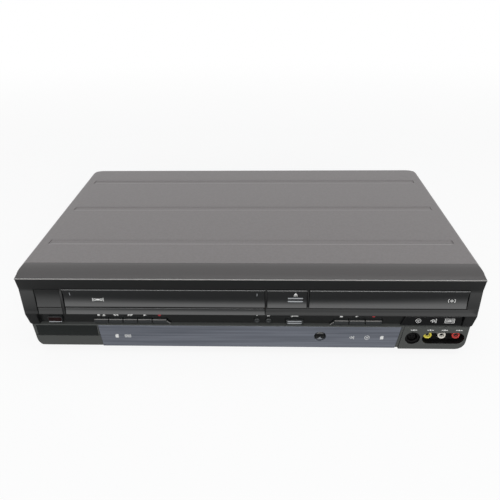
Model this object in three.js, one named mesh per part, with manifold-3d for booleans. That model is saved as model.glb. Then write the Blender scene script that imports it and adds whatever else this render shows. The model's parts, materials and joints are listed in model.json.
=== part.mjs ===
// A DVD and VCR combo player: a low wide cabinet with a tape deck on the left and a disc drive on the right.
// Millimetres, +Z up. The front faces -Y, and the origin is the middle of the footprint on the shelf.
import * as THREE from 'three';
import { mergeVertices } from 'three/addons/utils/BufferGeometryUtils.js';
import Module from 'manifold-3d';

const wasm = await Module();
wasm.setup();

// Clearances, key travel and the overrun of every cut
const fit = { seat: 0.3, play: 0.35, shaft: 0.3, travel: 0.8, overrun: 6 };

// Sheet steel and circuit board stock
const sheet = 1;
const board = { thickness: 1.6, raise: 4.3, switchDepth: 1.2, switchSize: 4 };

// The media that set the size of both decks
const cassette = { width: 188, depth: 104, height: 25, reelWidth: 49, reelInset: 47 };
const disc = { radius: 60, smallRadius: 40, hole: 7.5 };

// Rubber feet
const foot = { radius: 14, bottomRadius: 12, chamfer: 2, height: 8.7, inset: 46 };

// Heights of the front, from the shelf up
const front = {
  overhang: 0.6,
  lowerHeight: 28.1,
  bandHeight: 13.7,
  lipHeight: 7.8,
  faceHeight: 21,
  browHeight: 12.4,
  crownHeight: 7.6,
};

// Widths of the row of doors, and of the cheeks beside it
const row = {
  trim: 27,
  doorMargin: 2.7,
  button: 41,
  trayMargin: 6.35,
  cheek: 12.45,
  shift: 1.15,
  jamb: 1.2,
};

// How far each front surface stands back from the bezel's bright edge
const set = { edge: 0.9, brow: 3, face: 2.4, lip: 1.4, band: 8, lower: 4, base: 4.9, cap: 5 };

// The moulded bezel
const bezel = {
  depth: 18,
  wall: 2.4,
  backWall: 10.4,
  seamStep: 0.1,
  crownPower: 2.2,
  crownSteps: 6,
  coverStep: 1.75,
  bandTaper: 0.5,
  kinkTaper: 2,
  kinkHeight: 1.2,
  lowerTaper: 3.4,
  baseTaper: 4.2,
  cornerRadius: 9,
  baseRound: 1.5,
  groove: 0.8,
  bossRadius: 3,
  bossRise: 20,
  bossShares: [-0.76, -0.41, 0.27, 0.64],
};

// The steel cover
const cover = { bend: 4, corner: 13, rearFlange: 8, screwRadius: 2.1, screwHeight: 13, screwInset: 54 };
const groove = { width: 10, depth: 0.9, slope: 1.6, margin: 12, firstFromSeam: 36, pitch: 79.5, count: 3 };
const screw = { headRadius: 4, headHeight: 1.3, shankRadius: 1.8, shankLength: 6 };

// The chassis pan
const pan = {
  flange: 25,
  frontFlange: 5,
  ventLength: 40,
  ventWidth: 3,
  ventPitch: 9,
  ventCount: 9,
  postRadius: 3,
};

// Keys, all on the dark band or on the doors' row
const key = { height: 5, rise: 0.4, flange: 1.2, flangeDepth: 1.4, gap: 0.6, slant: 4.5, stem: 3 };
const power = { fromEnd: 6.2, width: 14.2, rise: 1.5, height: 6.6 };
const tapeKeys = {
  inset: 25.1,
  pitch: 14.4,
  names: ['stop_eject', 'rewind', 'fast_forward', 'play', 'record'],
};
const channelKeys = { offset: -2.5, pitch: 11.2, radius: 2.6, rise: 3.8 };
const dubKey = { offset: 8, width: 17 };
const discKeys = {
  inset: 25.9,
  width: 46.6,
  edgeShares: [0, 0.31, 0.65, 1],
  names: ['stop', 'play', 'record'],
};
const trimPlate = { leadWidth: 2.2, slant: 4, height: 10.3, thickness: 2.3 };

// The lower block: display window, remote sensor, card door and jack bay
const glass = { sideWidth: 0.5, top: 1.4, thickness: 2.4, rise: 0.8, pocket: 2.9, slant: 2 };
const display = { left: -68, right: 38, low: 6, high: 23 };
const sensor = { x: 70.5, radius: 5.5, depth: 2.2 };
const card = { endWidth: 7, sideWidth: 1.3, low: 13.6, high: 26.4, nose: 1, pocket: 5 };
const cardSlot = { width: 56, height: 2 };
const jackBay = { sideWidth: 4.2, slant: 2, top: 1.1, depth: 9, floor: 1, recess: 6.7 };
const jack = {
  endWidth: 13,
  pitch: 13.8,
  rise: 13.4,
  radius: 4,
  bore: 1.7,
  reach: 3.5,
  body: 11,
  bodyDepth: 9.5,
};
const svideo = { stepWidth: 15.9, radius: 7.3, inner: 4.9, cavity: 7, body: 14, setBack: 1.4 };

// The cassette door
const door = {
  thickness: 2.2,
  lipThickness: 2.4,
  pinRadius: 1,
  pinLength: 0.9,
  pivotDrop: 1.3,
  pivotBack: 4.3,
};

// The tape deck
const deck = {
  length: 190,
  frontZone: 16.2,
  rearZone: 33.5,
  sheet: 1.5,
  bottom: 16,
  margin: 8,
  legRadius: 3.5,
};
const holder = {
  length: 70,
  play: 0.8,
  wall: 1.2,
  shelf: 12,
  headroom: 1,
  lead: 2,
  travel: 42,
};
const yoke = { length: 24, back: 24, wall: 1.2, barHeight: 2.5, barDepth: 4 };
const rail = { wall: 1.5, height: 34, length: 116 };
const reel = {
  flangeRadius: 18,
  flange: 1.7,
  hubRadius: 11,
  hub: 4.2,
  spindleRadius: 5.5,
  height: 18,
  post: 2,
};
const drum = { radius: 31, tilt: 5.9, lift: 4, lower: 15, upper: 11.7, hubRadius: 9, hub: 3, inset: 35 };
const capstan = { sideWidth: 36, inset: 33, radius: 1.6, height: 24, wheelRadius: 19, wheel: 5.5, drop: 1.5 };
const pinch = {
  rollerRadius: 6.5,
  rollerHeight: 14,
  armLength: 22,
  armThickness: 3,
  armWidth: 7,
  openAngle: 25,
  lineAngle: 60,
};

// The disc drive
const tray = {
  half: 68,
  thickness: 6,
  floor: 1.2,
  frontRim: 12.5,
  tail: 28,
  slotHalf: 17,
  play: 0.5,
  rise: 2,
};
const drive = {
  wall: 2,
  floorDrop: 12,
  sideRise: 14,
  ledge: 5,
  lead: 4.2,
  tailRoom: 14,
  leg: 8,
  openHalf: 50,
};
const bridge = { half: 12, thickness: 2, hole: 7 };
const traverse = {
  half: 46,
  thickness: 2,
  rodRadius: 1.5,
  rodX: 20,
  hingeRadius: 2.2,
  hingeHalf: 40,
};
const hub = { motorRadius: 5.5, motor: 6, rotorRadius: 13, rotor: 5.2, platter: 3, cone: 2.5 };
const pickup = { half: 24, length: 24, rise: 5.2, lensRadius: 4, lens: 1, fromHub: 16.8, travel: 34 };
const clamp = { radius: 14, puck: 2.8, neckRadius: 6, capRadius: 10, cap: 1.7, lift: 1.7 };

// Boards and what stands on them
const mainBoard = { leftWidth: 17.5, rightWidth: 2.5, chipShares: [-0.75, -0.25, 0.25] };
const supply = {
  gap: 5.4,
  edge: 12,
  canWidth: 45,
  canShare: 0.55,
  canHeight: 34,
  sinkWidth: 50,
  sinkThickness: 3,
  sinkHeight: 38,
  capRadius: 10,
  capHeight: 28,
  capPitch: 23,
};
const tuner = { width: 38, depth: 20, height: 26 };
const tube = { rim: 3 };
const jackBlock = {
  leftWidth: 50,
  rightWidth: 25,
  depth: 15,
  height: 40,
  columns: 8,
  rows: 2,
  radius: 4.2,
  bore: 1.7,
};
const socketReach = 7;
const inlet = {
  sideWidth: 14.85,
  width: 21,
  height: 15,
  rim: 2.5,
  lift: 6,
  depth: 18,
  cavity: 12,
  pin: 7,
  pinRadius: 1.2,
  pinPitch: 8.6,
};
const fan = {
  sideWidth: 40.15,
  size: 40,
  depth: 12,
  bore: 18,
  hub: 9,
  blades: 7,
  slots: 7,
  lift: 40,
  shaft: 1.5,
  tilt: 35,
  gap: 1,
};

// Heights above the shelf
const zPan = foot.height + fit.seat;
const zFloor = zPan + sheet;
const zBase = zPan - front.overhang;
const zLower = zBase + front.lowerHeight;
const zBand = zLower + front.bandHeight;
const zLip = zBand + front.lipHeight;
const zFace = zLip + front.faceHeight;
const zBrow = zFace + front.browHeight;
const zTop = zBrow + front.crownHeight;
const zBoard = zFloor + board.raise;
const zBoardTop = zBoard + board.thickness;
const zDeck = zPan + deck.bottom;
const zDeckTop = zDeck + deck.sheet;
const zTray = zLip + tray.rise;
const zTrayTop = zTray + tray.thickness;
const zSlot = zBand + fit.seat + fit.travel;

// Places across the front
const doorWidth = cassette.width + 2 * row.doorMargin;
const trayDoorWidth = 2 * (tray.half + row.trayMargin);
const rowWidth = row.trim + doorWidth + row.button + trayDoorWidth;
const halfWidth = rowWidth / 2 + row.cheek;
const xTrim = row.shift - rowWidth / 2;
const xDoor = xTrim + row.trim;
const xButton = xDoor + doorWidth;
const xTray = xButton + row.button;
const xRowEnd = xTray + trayDoorWidth;
const xDeck = (xDoor + xButton) / 2;
const xDrive = (xTray + xRowEnd) / 2;

// Places from front to back
const coverLength = deck.frontZone + deck.length + deck.rearZone;
const yFront = -(bezel.depth + fit.seat + coverLength + socketReach) / 2;
const ySeam = yFront + bezel.depth;
const yCover = ySeam + fit.seat;
const yBack = yCover + coverLength;
const yPanel = yBack - 2 * sheet - fit.seat;
const yDeck = yCover + deck.frontZone;
const yWall = yFront + bezel.backWall;
const yBoard = ySeam - fit.seat - board.thickness;
const ySwitch = yBoard - board.switchDepth;
const yStem = ySwitch - fit.travel - fit.seat;
const yTrayFront = yFront + set.brow + door.thickness + fit.seat;
const yHub = yTrayFront + tray.frontRim + disc.radius;
const yTrayEnd = yHub + disc.radius + tray.tail;
const yDriveEnd = yTrayEnd + drive.tailRoom;
const coverHalf = halfWidth - bezel.coverStep;
const panHalf = coverHalf - sheet - fit.seat;

// Finishes
function finish(color, roughness, metalness = 0) {
  return new THREE.MeshStandardMaterial({ color, roughness, metalness });
}

const paintedSteel = finish(0x4b4a4c, 0.5);
const bezelPlastic = finish(0x232323, 0.4);
const doorPlastic = finish(0x1d1f20, 0.3);
const keyPlastic = finish(0x2a2c2d, 0.35);
const windowPlastic = finish(0x3d4148, 0.2);
const darkGloss = finish(0x0c0c0d, 0.12);
const redWindow = finish(0x4a0d0d, 0.2);
const zincSteel = finish(0xa9adb0, 0.35, 0.9);
const brightMetal = finish(0xc8cbce, 0.2, 1);
const rubber = finish(0x1a1a1a, 0.85);
const greenBoard = finish(0x2c5a35, 0.55);
const brownBoard = finish(0x8a6a3c, 0.6);
const blackPlastic = finish(0x17181a, 0.5);
const greyPlastic = finish(0x55585c, 0.5);
const whitePlastic = finish(0xdcdcd6, 0.45);
const yellowPlastic = finish(0xe0b81c, 0.4);
const redPlastic = finish(0xb8241e, 0.4);
const glassTube = finish(0x22332f, 0.1);

// A geometry as a closed solid
function solidOf(shape) {
  if (!shape.isBufferGeometry) return shape;
  const bare = shape.clone();
  bare.deleteAttribute('normal');
  bare.deleteAttribute('uv');
  const merged = mergeVertices(bare);
  const vertProperties = new Float32Array(merged.attributes.position.array);
  const triVerts = new Uint32Array(merged.index.array);
  return new wasm.Manifold(new wasm.Mesh({ numProp: 3, vertProperties, triVerts }));
}

const join = (...shapes) => shapes.map(solidOf).reduce((whole, next) => whole.add(next));
const cut = (shape, ...tools) => tools.reduce((whole, next) => whole.subtract(solidOf(next)), solidOf(shape));
const common = (...shapes) => shapes.map(solidOf).reduce((whole, next) => whole.intersect(next));

// A solid back as flat shaded geometry
function geometryOf(shape) {
  const { vertProperties, triVerts, numProp } = solidOf(shape).getMesh();
  const geometry = new THREE.BufferGeometry();
  geometry.setAttribute('position', new THREE.BufferAttribute(new Float32Array(vertProperties), numProp));
  geometry.setIndex(new THREE.BufferAttribute(new Uint32Array(triVerts), 1));
  const flat = geometry.toNonIndexed();
  flat.computeVertexNormals();
  return flat;
}

// A box between two limits on each axis
function block(x, y, z) {
  const size = [x, y, z].map(([low, high]) => high - low);
  const middle = [x, y, z].map(([low, high]) => (low + high) / 2);
  return new THREE.BoxGeometry(...size).translate(...middle);
}

const around = (middle, size) => [middle - size / 2, middle + size / 2];
const mirrored = (half) => [-half, half];
const wider = ([low, high], margin) => [low - margin, high + margin];
const onSide = (side, low, high) => (side < 0 ? [-high, -low] : [low, high]);

// Turns an outline's plane so that it is extruded along the named axis
const unit = [new THREE.Vector3(1, 0, 0), new THREE.Vector3(0, 1, 0), new THREE.Vector3(0, 0, 1)];
const planes = {
  x: new THREE.Matrix4().makeBasis(unit[1], unit[2], unit[0]),
  y: new THREE.Matrix4().makeBasis(unit[0], unit[2], unit[1].clone().negate()),
  z: new THREE.Matrix4(),
};

// An outline extruded along an axis: (y, z) along x, (x, z) along y and (x, y) along z
function slab(axis, outline, [low, high]) {
  const shape = new THREE.Shape(outline.map(([u, v]) => new THREE.Vector2(u, v)));
  const geometry = new THREE.ExtrudeGeometry(shape, { depth: high - low, bevelEnabled: false });
  return geometry.translate(0, 0, axis === 'y' ? -high : low).applyMatrix4(planes[axis]);
}

// Points of a circle's arc, angles in degrees
function arc([u, v], radius, from, to, steps) {
  return Array.from({ length: steps + 1 }, (_, step) => {
    const angle = THREE.MathUtils.degToRad(from + ((to - from) * step) / steps);
    return [u + radius * Math.cos(angle), v + radius * Math.sin(angle)];
  });
}

const circle = (centre, radius, sides) => arc(centre, radius, 0, 360, sides).slice(1);
const rod = (axis, centre, radius, span, sides = 24) => slab(axis, circle(centre, radius, sides), span);

// A body of revolution about Z, from its profile of radius and height
function turned(profile, sides = 32) {
  const points = profile.map(([radius, height]) => new THREE.Vector2(radius, height));
  return new THREE.LatheGeometry(points, sides).rotateX(Math.PI / 2);
}

const player = new THREE.Group();

// Adds a named piece to a group
function piece(name, shape, material, group, position = [0, 0, 0]) {
  const mesh = new THREE.Mesh(geometryOf(shape), material);
  mesh.name = name;
  mesh.position.set(...position);
  group.add(mesh);
  return mesh;
}

function subAssembly(position = [0, 0, 0]) {
  const group = new THREE.Group();
  group.position.set(...position);
  player.add(group);
  return group;
}

// The cabinet's plan: square at the front, with round corners at the back
function planOutline(half, low, high, radius) {
  return [
    [-half, low],
    [half, low],
    ...arc([half - radius, high - radius], radius, 0, 90, 6),
    ...arc([radius - half, high - radius], radius, 90, 180, 6),
  ];
}

// The cover's arch seen from the front, with its bent upper corners
function archOutline(half, low, high, radius) {
  return [
    [-half, low],
    [half, low],
    ...arc([half - radius, high - radius], radius, 0, 90, 4),
    ...arc([radius - half, high - radius], radius, 90, 180, 4),
  ];
}

// Middles of the pressed grooves, counted from the seam
const grooveMiddles = Array.from({ length: groove.count }, (_, index) => {
  return ySeam + groove.firstFromSeam + groove.width / 2 + index * groove.pitch;
});

// One pressed groove's section, as a cut from the level z or as the metal under it
function grooveOutline(y, z, above) {
  const half = groove.width / 2;
  return [
    [y - half, z + above],
    [y - half, z],
    [y - half + groove.slope, z - groove.depth],
    [y + half - groove.slope, z - groove.depth],
    [y + half, z],
    [y + half, z + above],
  ];
}

const screwPlaces = [yCover + cover.screwInset, yBack - cover.screwInset];
const zScrew = zPan + cover.screwHeight;

function addCover(group) {
  const low = zPan;
  const outer = common(
    slab('z', planOutline(coverHalf, yCover, yBack, cover.corner), [low, zTop]),
    slab('y', archOutline(coverHalf, low, zTop, cover.bend), [yCover, yBack]),
  );
  const inside = [yCover - fit.overrun, yBack - sheet];
  const innerHalf = coverHalf - sheet;
  let hollow = common(
    slab('z', planOutline(innerHalf, ...inside, cover.corner - sheet), [low - fit.overrun, zTop - sheet]),
    slab('y', archOutline(innerHalf, low - fit.overrun, zTop - sheet, cover.bend - sheet), inside),
  );
  const span = mirrored(coverHalf - groove.margin);
  const pressed = grooveMiddles.map((y) => slab('x', grooveOutline(y, zTop, fit.overrun), span));
  const ridges = grooveMiddles.map((y) => slab('x', grooveOutline(y, zTop - sheet, sheet / 2), span));
  hollow = cut(hollow, ...ridges);
  const rear = block(
    mirrored(coverHalf - cover.corner),
    [yBack - cover.corner, yBack + fit.overrun],
    [low - fit.overrun, zTop - cover.rearFlange],
  );
  const holes = screwPlaces.map((y) => rod('x', [y, zScrew], cover.screwRadius, mirrored(halfWidth), 12));
  piece('top_cover', cut(outer, hollow, rear, ...pressed, ...holes), paintedSteel, group);
}

const mainSpan = [mainBoard.leftWidth - halfWidth, xTray - mainBoard.rightWidth];
const boardPosts = [
  [mainSpan[0] + pan.postRadius * 2, yDeck + pan.postRadius * 4],
  [mainSpan[1] - pan.postRadius * 2, yDeck + pan.postRadius * 4],
  [mainSpan[0] + pan.postRadius * 2, yPanel - pan.postRadius * 4],
  [mainSpan[1] - pan.postRadius * 2, yPanel - pan.postRadius * 4],
];
const supplySpan = [xDrive - tray.half, xDrive + tray.half];
const xInlet = supplySpan[1] - inlet.sideWidth;
const xFan = supplySpan[0] + fan.sideWidth;
const jackBlockSpan = [mainSpan[0] + jackBlock.leftWidth, mainSpan[1] - jackBlock.rightWidth];
const supplyDepth = [yDriveEnd + supply.gap, yPanel - fit.seat * 4];
const supplyLength = supplyDepth[1] - supplyDepth[0];
const supplyPosts = [
  [supplySpan[0] + pan.postRadius * 2, supplyDepth[0] + pan.postRadius * 2],
  [supplySpan[1] - pan.postRadius * 2, supplyDepth[0] + pan.postRadius * 2],
  [supplySpan[0] + pan.postRadius * 2, supplyDepth[1] - pan.postRadius * 2],
  [supplySpan[1] - pan.postRadius * 2, supplyDepth[1] - pan.postRadius * 2],
];

function addPan(group) {
  const rear = yBack - sheet - fit.seat;
  const corner = cover.corner - sheet - fit.seat;
  const plate = slab('z', planOutline(panHalf, yCover, rear, corner), [zPan, zFloor]);
  const sides = [-1, 1].map((side) => {
    const x = onSide(side, panHalf - sheet, panHalf);
    return block(x, [yCover, rear - cover.corner], [zPan, zPan + pan.flange]);
  });
  const lip = block(mirrored(panHalf), [yCover, yCover + sheet], [zPan, zPan + pan.frontFlange]);
  const posts = [...boardPosts, ...supplyPosts].map((place) => {
    return rod('z', place, pan.postRadius, [zPan, zBoard - fit.seat], 12);
  });
  const vents = [];
  for (const x of [xDeck, xDrive]) {
    for (let index = 0; index < pan.ventCount; index += 1) {
      const across = x + (index - (pan.ventCount - 1) / 2) * pan.ventPitch;
      const through = [zPan - fit.overrun, zFloor + sheet];
      vents.push(block(around(across, pan.ventWidth), around(0, pan.ventLength), through));
    }
  }
  const holes = screwPlaces.map((y) => rod('x', [y, zScrew], cover.screwRadius, mirrored(halfWidth), 12));
  piece('chassis_pan', cut(join(plate, ...sides, lip, ...posts), ...vents, ...holes), zincSteel, group);
}

function addFeet(group) {
  const shape = turned([
    [0, 0],
    [foot.bottomRadius, 0],
    [foot.radius, foot.chamfer],
    [foot.radius, foot.height],
    [0, foot.height],
  ], 24);
  const across = halfWidth - foot.inset;
  const places = { front_left: [-across, yCover + foot.inset / 2], front_right: [across, yCover + foot.inset / 2] };
  places.rear_left = [-across, yBack - foot.inset / 2];
  places.rear_right = [across, yBack - foot.inset / 2];
  for (const [name, [x, y]] of Object.entries(places)) piece(`foot_${name}`, shape, rubber, group, [x, y, 0]);
}

function addScrews(group) {
  const shape = turned([
    [0, -screw.shankLength],
    [screw.shankRadius, -screw.shankLength],
    [screw.shankRadius, 0],
    [screw.headRadius, 0],
    [screw.headRadius * 0.8, screw.headHeight],
    [0, screw.headHeight],
  ], 16);
  for (const [side, label] of [[-1, 'left'], [1, 'right']]) {
    screwPlaces.forEach((y, index) => {
      const name = `cover_screw_${index ? 'rear' : 'front'}_${label}`;
      const mesh = piece(name, shape, blackPlastic, group, [side * (coverHalf + fit.seat / 2), y, zScrew]);
      mesh.rotation.y = (side * Math.PI) / 2;
    });
  }
}

// The bezel's outline from the front, drawn in by an inset
function frontOutline(inset) {
  const half = halfWidth - inset;
  const base = half - bezel.baseTaper;
  const round = bezel.cornerRadius - inset;
  const bend = cover.bend - inset / 2;
  const upper = half - bezel.coverStep;
  const right = [
    ...arc([base - round, zBase + inset + round], round, -90, 0, 4),
    [half - bezel.lowerTaper, zLower],
    [half - bezel.kinkTaper, zLower + bezel.kinkHeight],
    [half - bezel.bandTaper, zBand],
    [half, zBrow],
    ...arc([upper - bend, zTop - inset - bend], bend, 0, 90, 4),
  ];
  return [...right, ...right.map(([x, z]) => [-x, z]).reverse()];
}

// The bezel's section from front to back
function bezelSection() {
  const edge = zBrow + set.edge;
  const seam = zTop - bezel.seamStep;
  const crown = Array.from({ length: bezel.crownSteps + 1 }, (_, step) => {
    const share = step / bezel.crownSteps;
    return [ySeam - bezel.depth * share, edge + (seam - edge) * (1 - share ** bezel.crownPower)];
  });
  return [
    ...crown,
    [yFront, zBrow],
    [yFront + set.edge, zBrow - set.edge],
    [yFront + set.brow, zFace],
    [yFront + set.lip, zBand],
    [yFront + set.lower, zLower],
    [yFront + set.base, zBase + bezel.baseRound],
    [yFront + set.base + bezel.baseRound, zBase],
    [ySeam, zBase],
  ];
}

function bezelHollow() {
  const section = [
    [ySeam + fit.overrun, zTop - bezel.seamStep - bezel.wall],
    [yFront + bezel.depth * 0.4, zBrow + front.crownHeight * 0.4],
    [yFront + set.edge + bezel.wall, zBrow - set.edge],
    [yFront + set.brow + bezel.wall, zFace],
    [yFront + set.brow + bezel.wall, zLip + bezel.wall],
    [yWall, zLip],
    [yWall, zBase + bezel.wall],
    [ySeam + fit.overrun, zBase + bezel.wall],
  ];
  return common(
    slab('x', section, mirrored(halfWidth)),
    slab('y', frontOutline(bezel.wall), [yFront, ySeam + fit.overrun]),
  );
}

const yCut = yFront - fit.overrun;
const zOpen = zFace + fit.seat;
const bandSpan = [xTrim - bezel.wall, xRowEnd];
const keyLow = zLower + key.rise;
const discKeyEdges = discKeys.edgeShares.map((share) => xTray + discKeys.inset + discKeys.width * share);
const tapeKeyStart = xDoor + tapeKeys.inset;
const tapeKeyEnd = tapeKeyStart + tapeKeys.pitch * tapeKeys.names.length;
const xDub = (xButton + xTray) / 2 + dubKey.offset;
const powerSpan = [xTrim + power.fromEnd, xTrim + power.fromEnd + power.width];
const powerHeight = [zLower + power.rise, zLower + power.rise + power.height];
const channelPlaces = [-0.5, 0.5].map((side) => xButton + channelKeys.offset + side * channelKeys.pitch);
const zChannel = zLower + channelKeys.rise;
const yGlass = yFront + set.lower + glass.pocket;
const boardBosses = bezel.bossShares.map((share) => share * halfWidth);
const zBoss = zBase + bezel.bossRise;
const jackPlaces = [-2, -1, 0].map((index) => halfWidth - jack.endWidth + index * jack.pitch);
const xSocket = jackPlaces[0] - svideo.stepWidth;
const xBay = xSocket - svideo.radius - jackBay.sideWidth;
const glassHalf = xBay - glass.sideWidth;
const cardSpan = [card.endWidth - halfWidth, -glassHalf - card.sideWidth];
const xPlate = xBay + trimPlate.leadWidth;
const zJack = zBase + jack.rise;
const yBayBack = yFront + set.lower + jackBay.depth;

// The jack bay's outline, grown by a gap for the bezel's notch
function bayOutline(gap) {
  const top = zLower - jackBay.top + gap;
  return [
    [xBay - jackBay.slant - gap, zBase - fit.overrun],
    [xBay + jackBay.slant - gap, top],
    [halfWidth + fit.overrun, top],
    [halfWidth + fit.overrun, zBase - fit.overrun],
  ];
}

// The display window's outline, with slanted ends
function glassOutline(gap) {
  const low = zBase + glass.rise - gap;
  const high = zLower - glass.top + gap;
  return [
    [-glassHalf - gap + glass.slant, low],
    [glassHalf + gap - glass.slant * 2, low],
    [glassHalf + gap, high],
    [-glassHalf - gap, high],
  ];
}

// Openings for the doors, keys, window and sockets
function bezelOpenings() {
  const through = [yCut, ySeam + fit.overrun];
  const grow = fit.play;
  const keyRow = [keyLow - grow, keyLow + key.height + grow];
  const yButtonPocket = yFront + set.brow + door.thickness + fit.travel * 2;
  const middleOfFace = (zLip + zFace) / 2;
  const openings = [
    block([xDoor, xButton], through, [zBand, zOpen]),
    block([xTray, xRowEnd], through, [zLip, zOpen]),
    block([xButton + row.jamb, xTray - row.jamb], [yCut, yButtonPocket], [zLip, zOpen]),
    block(bandSpan, [yCut, yFront + set.band], [zLower, zBand]),
    block(wider(powerSpan, grow), through, wider(powerHeight, grow)),
    block([tapeKeyStart - grow, tapeKeyEnd + grow], through, keyRow),
    block(wider(around(xDub, dubKey.width), grow), through, keyRow),
    block([discKeyEdges[0] - grow, discKeyEdges.at(-1) + grow], through, keyRow),
    block(around((xButton + xTray) / 2, row.button / 4), through, around(middleOfFace, front.faceHeight / 2)),
    slab('y', glassOutline(fit.seat), [yCut, yGlass]),
    block([display.left, display.right], through, [zBase + display.low, zBase + display.high]),
    slab('y', bayOutline(fit.seat), [yCut, yBayBack + fit.seat]),
    rod('y', [sensor.x, zBase + (display.low + display.high) / 2], sensor.radius / 2, through, 16),
  ];
  const cardPocket = block(
    wider(cardSpan, fit.seat),
    [yCut, yFront + set.lower + card.pocket],
    [zBase + card.low - fit.seat, zBase + card.high + fit.seat],
  );
  const slotX = (cardSpan[0] + cardSpan[1]) / 2;
  const slotZ = zBase + (card.low + card.high) / 2;
  const slot = block(around(slotX, cardSlot.width), through, around(slotZ, cardSlot.height));
  const pins = rod('x', cardPivot(), card.nose, wider(cardSpan, 2 * sheet), 12);
  const reach = door.pinLength + fit.seat / 2;
  const hingeHoles = rod('x', doorPivot(), door.pinRadius + fit.shaft, [xDoor - reach, xButton + reach], 12);
  for (const x of channelPlaces) {
    openings.push(rod('y', [x, zChannel], channelKeys.radius + grow, through, 16));
  }
  return [...openings, cardPocket, slot, pins, hingeHoles];
}

function doorPivot() {
  return [yFront + door.pivotBack, zFace - door.pivotDrop];
}

function cardPivot() {
  return [yFront + set.lower + card.nose + fit.seat, zBase + card.low + card.nose];
}

function addBezel(group) {
  const outer = common(
    slab('x', bezelSection(), mirrored(halfWidth)),
    slab('y', frontOutline(0), [yFront, ySeam]),
  );
  const jambSpan = [yFront + set.brow, yWall];
  const jambs = [
    block([xDoor - row.jamb, xDoor], jambSpan, [zBand, zFace + bezel.wall]),
    block([xButton, xButton + row.jamb], jambSpan, [zBand, zFace + bezel.wall]),
    block([xTray - row.jamb, xTray], jambSpan, [zLip, zFace + bezel.wall]),
    block([xButton, xTray], [yFront + set.brow + bezel.wall, yWall], [zLip - sheet, zFace + bezel.wall]),
  ];
  const bossSpan = [yWall - sheet, yBoard - fit.seat];
  const bosses = boardBosses.map((x) => rod('y', [x, zBoss], bezel.bossRadius, bossSpan, 12));
  const shell = cut(outer, bezelHollow());
  const line = bezel.groove;
  const trimFace = block([xTrim, xDoor - row.jamb - line], [yCut, yFront + set.brow + line], [zBand, zFace]);
  const trimInner = block(
    [xTrim + line, xDoor - row.jamb - 2 * line],
    [yCut - sheet, yFront + set.brow + 2 * line],
    [zLip + line, zFace - line],
  );
  const lipInner = block(
    [xTrim + line, xDoor - row.jamb - 2 * line],
    [yCut - sheet, yFront + set.brow + 2 * line],
    [zBand - sheet, zLip],
  );
  const lines = cut(trimFace, trimInner, lipInner);
  piece('front_bezel', cut(join(shell, ...jambs, ...bosses), lines, ...bezelOpenings()), bezelPlastic, group);
}

// A key's cap, its retaining flange behind the bezel wall, and its stem to the switch
function keyShape([left, right], [low, high], slant = 0) {
  const cap = [
    [left - Math.max(-slant, 0), low],
    [right + Math.max(slant, 0), low],
    [right, low + key.height * 0.75],
    [right, high],
    [left, high],
    [left, low + key.height * 0.75],
  ];
  const yFlange = yWall + fit.seat;
  const middle = [(left + right) / 2, (low + high) / 2];
  return join(
    slab('y', cap, [yFront + set.cap, yFront + set.band - fit.seat - fit.travel]),
    block([left, right], [yFront + set.cap + sheet, yFlange], [low, high]),
    block([left, right], [yFlange, yFlange + key.flangeDepth], [low - key.flange, high + key.flange]),
    block(around(middle[0], key.stem), [yFlange, yStem], around(middle[1], key.stem)),
  );
}

function addKeys(group) {
  const rowHeight = [keyLow, keyLow + key.height];
  piece('power_button', keyShape(powerSpan, powerHeight), redWindow, group);
  tapeKeys.names.forEach((name, index) => {
    const left = tapeKeyStart + index * tapeKeys.pitch;
    const slant = index === tapeKeys.names.length - 1 ? key.slant : 0;
    const span = [left, left + tapeKeys.pitch - key.gap];
    piece(`tape_${name}_key`, keyShape(span, rowHeight, slant), keyPlastic, group);
  });
  discKeys.names.forEach((name, index) => {
    const span = [discKeyEdges[index], discKeyEdges[index + 1] - key.gap];
    piece(`disc_${name}_key`, keyShape(span, rowHeight, index ? 0 : -key.slant), keyPlastic, group);
  });
  piece('dub_button', keyShape(around(xDub, dubKey.width), rowHeight), keyPlastic, group);
  ['channel_down_button', 'channel_up_button'].forEach((name, index) => {
    const place = [channelPlaces[index], zChannel];
    const flangeStart = yWall + fit.seat;
    const shape = join(
      rod('y', place, channelKeys.radius, [yFront + set.cap + sheet, flangeStart], 20),
      rod('y', place, channelKeys.radius + key.flange, [flangeStart, flangeStart + key.flangeDepth], 20),
      block(around(place[0], key.stem), [flangeStart, yStem], around(place[1], key.stem)),
    );
    piece(name, shape, keyPlastic, group);
  });
}

// A door face's section: it leans out towards its foot
function faceSection(low, high, thickness) {
  return [
    [yFront + set.face, low],
    [yFront + set.brow, high],
    [yFront + set.brow + thickness, high],
    [yFront + set.brow + thickness, low],
  ];
}

function addTrayButton(group) {
  const span = [xButton + row.jamb + fit.play, xTray - row.jamb - fit.play];
  const height = [zLip + fit.play, zFace - fit.seat];
  const face = slab('x', faceSection(...height, door.thickness), span);
  const width = row.button / 4 - 2 * fit.play;
  const stem = block(
    around((xButton + xTray) / 2, width),
    [yFront + set.brow + door.thickness - sheet, ySwitch - fit.travel - fit.seat],
    around((zLip + zFace) / 2, front.faceHeight / 2 - 2 * fit.play),
  );
  piece('tray_button', join(face, stem), doorPlastic, group);
}

function addCassetteDoor(group) {
  const [y, z] = doorPivot();
  const nose = door.thickness / 2;
  const low = zBand + fit.seat + fit.play / 2;
  const section = [
    [yFront + set.lip, low],
    [yFront + set.lip, zLip - bezel.groove],
    [yFront + set.face, zLip],
    [yFront + set.face + bezel.groove, zLip],
    [yFront + set.face + bezel.groove, zLip + bezel.groove],
    [yFront + set.face, zLip + bezel.groove],
    ...arc([y, z], nose, 180, 0, 6),
    [yFront + set.lip + door.lipThickness + bezel.groove, zLip],
    [yFront + set.lip + door.lipThickness, low],
  ];
  const panel = slab('x', section, [xDoor + fit.play, xButton - fit.play]);
  const pins = rod('x', [y, z], door.pinRadius, [xDoor - door.pinLength, xButton + door.pinLength], 12);
  piece('cassette_door', join(panel, pins), doorPlastic, group);
}

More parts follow.
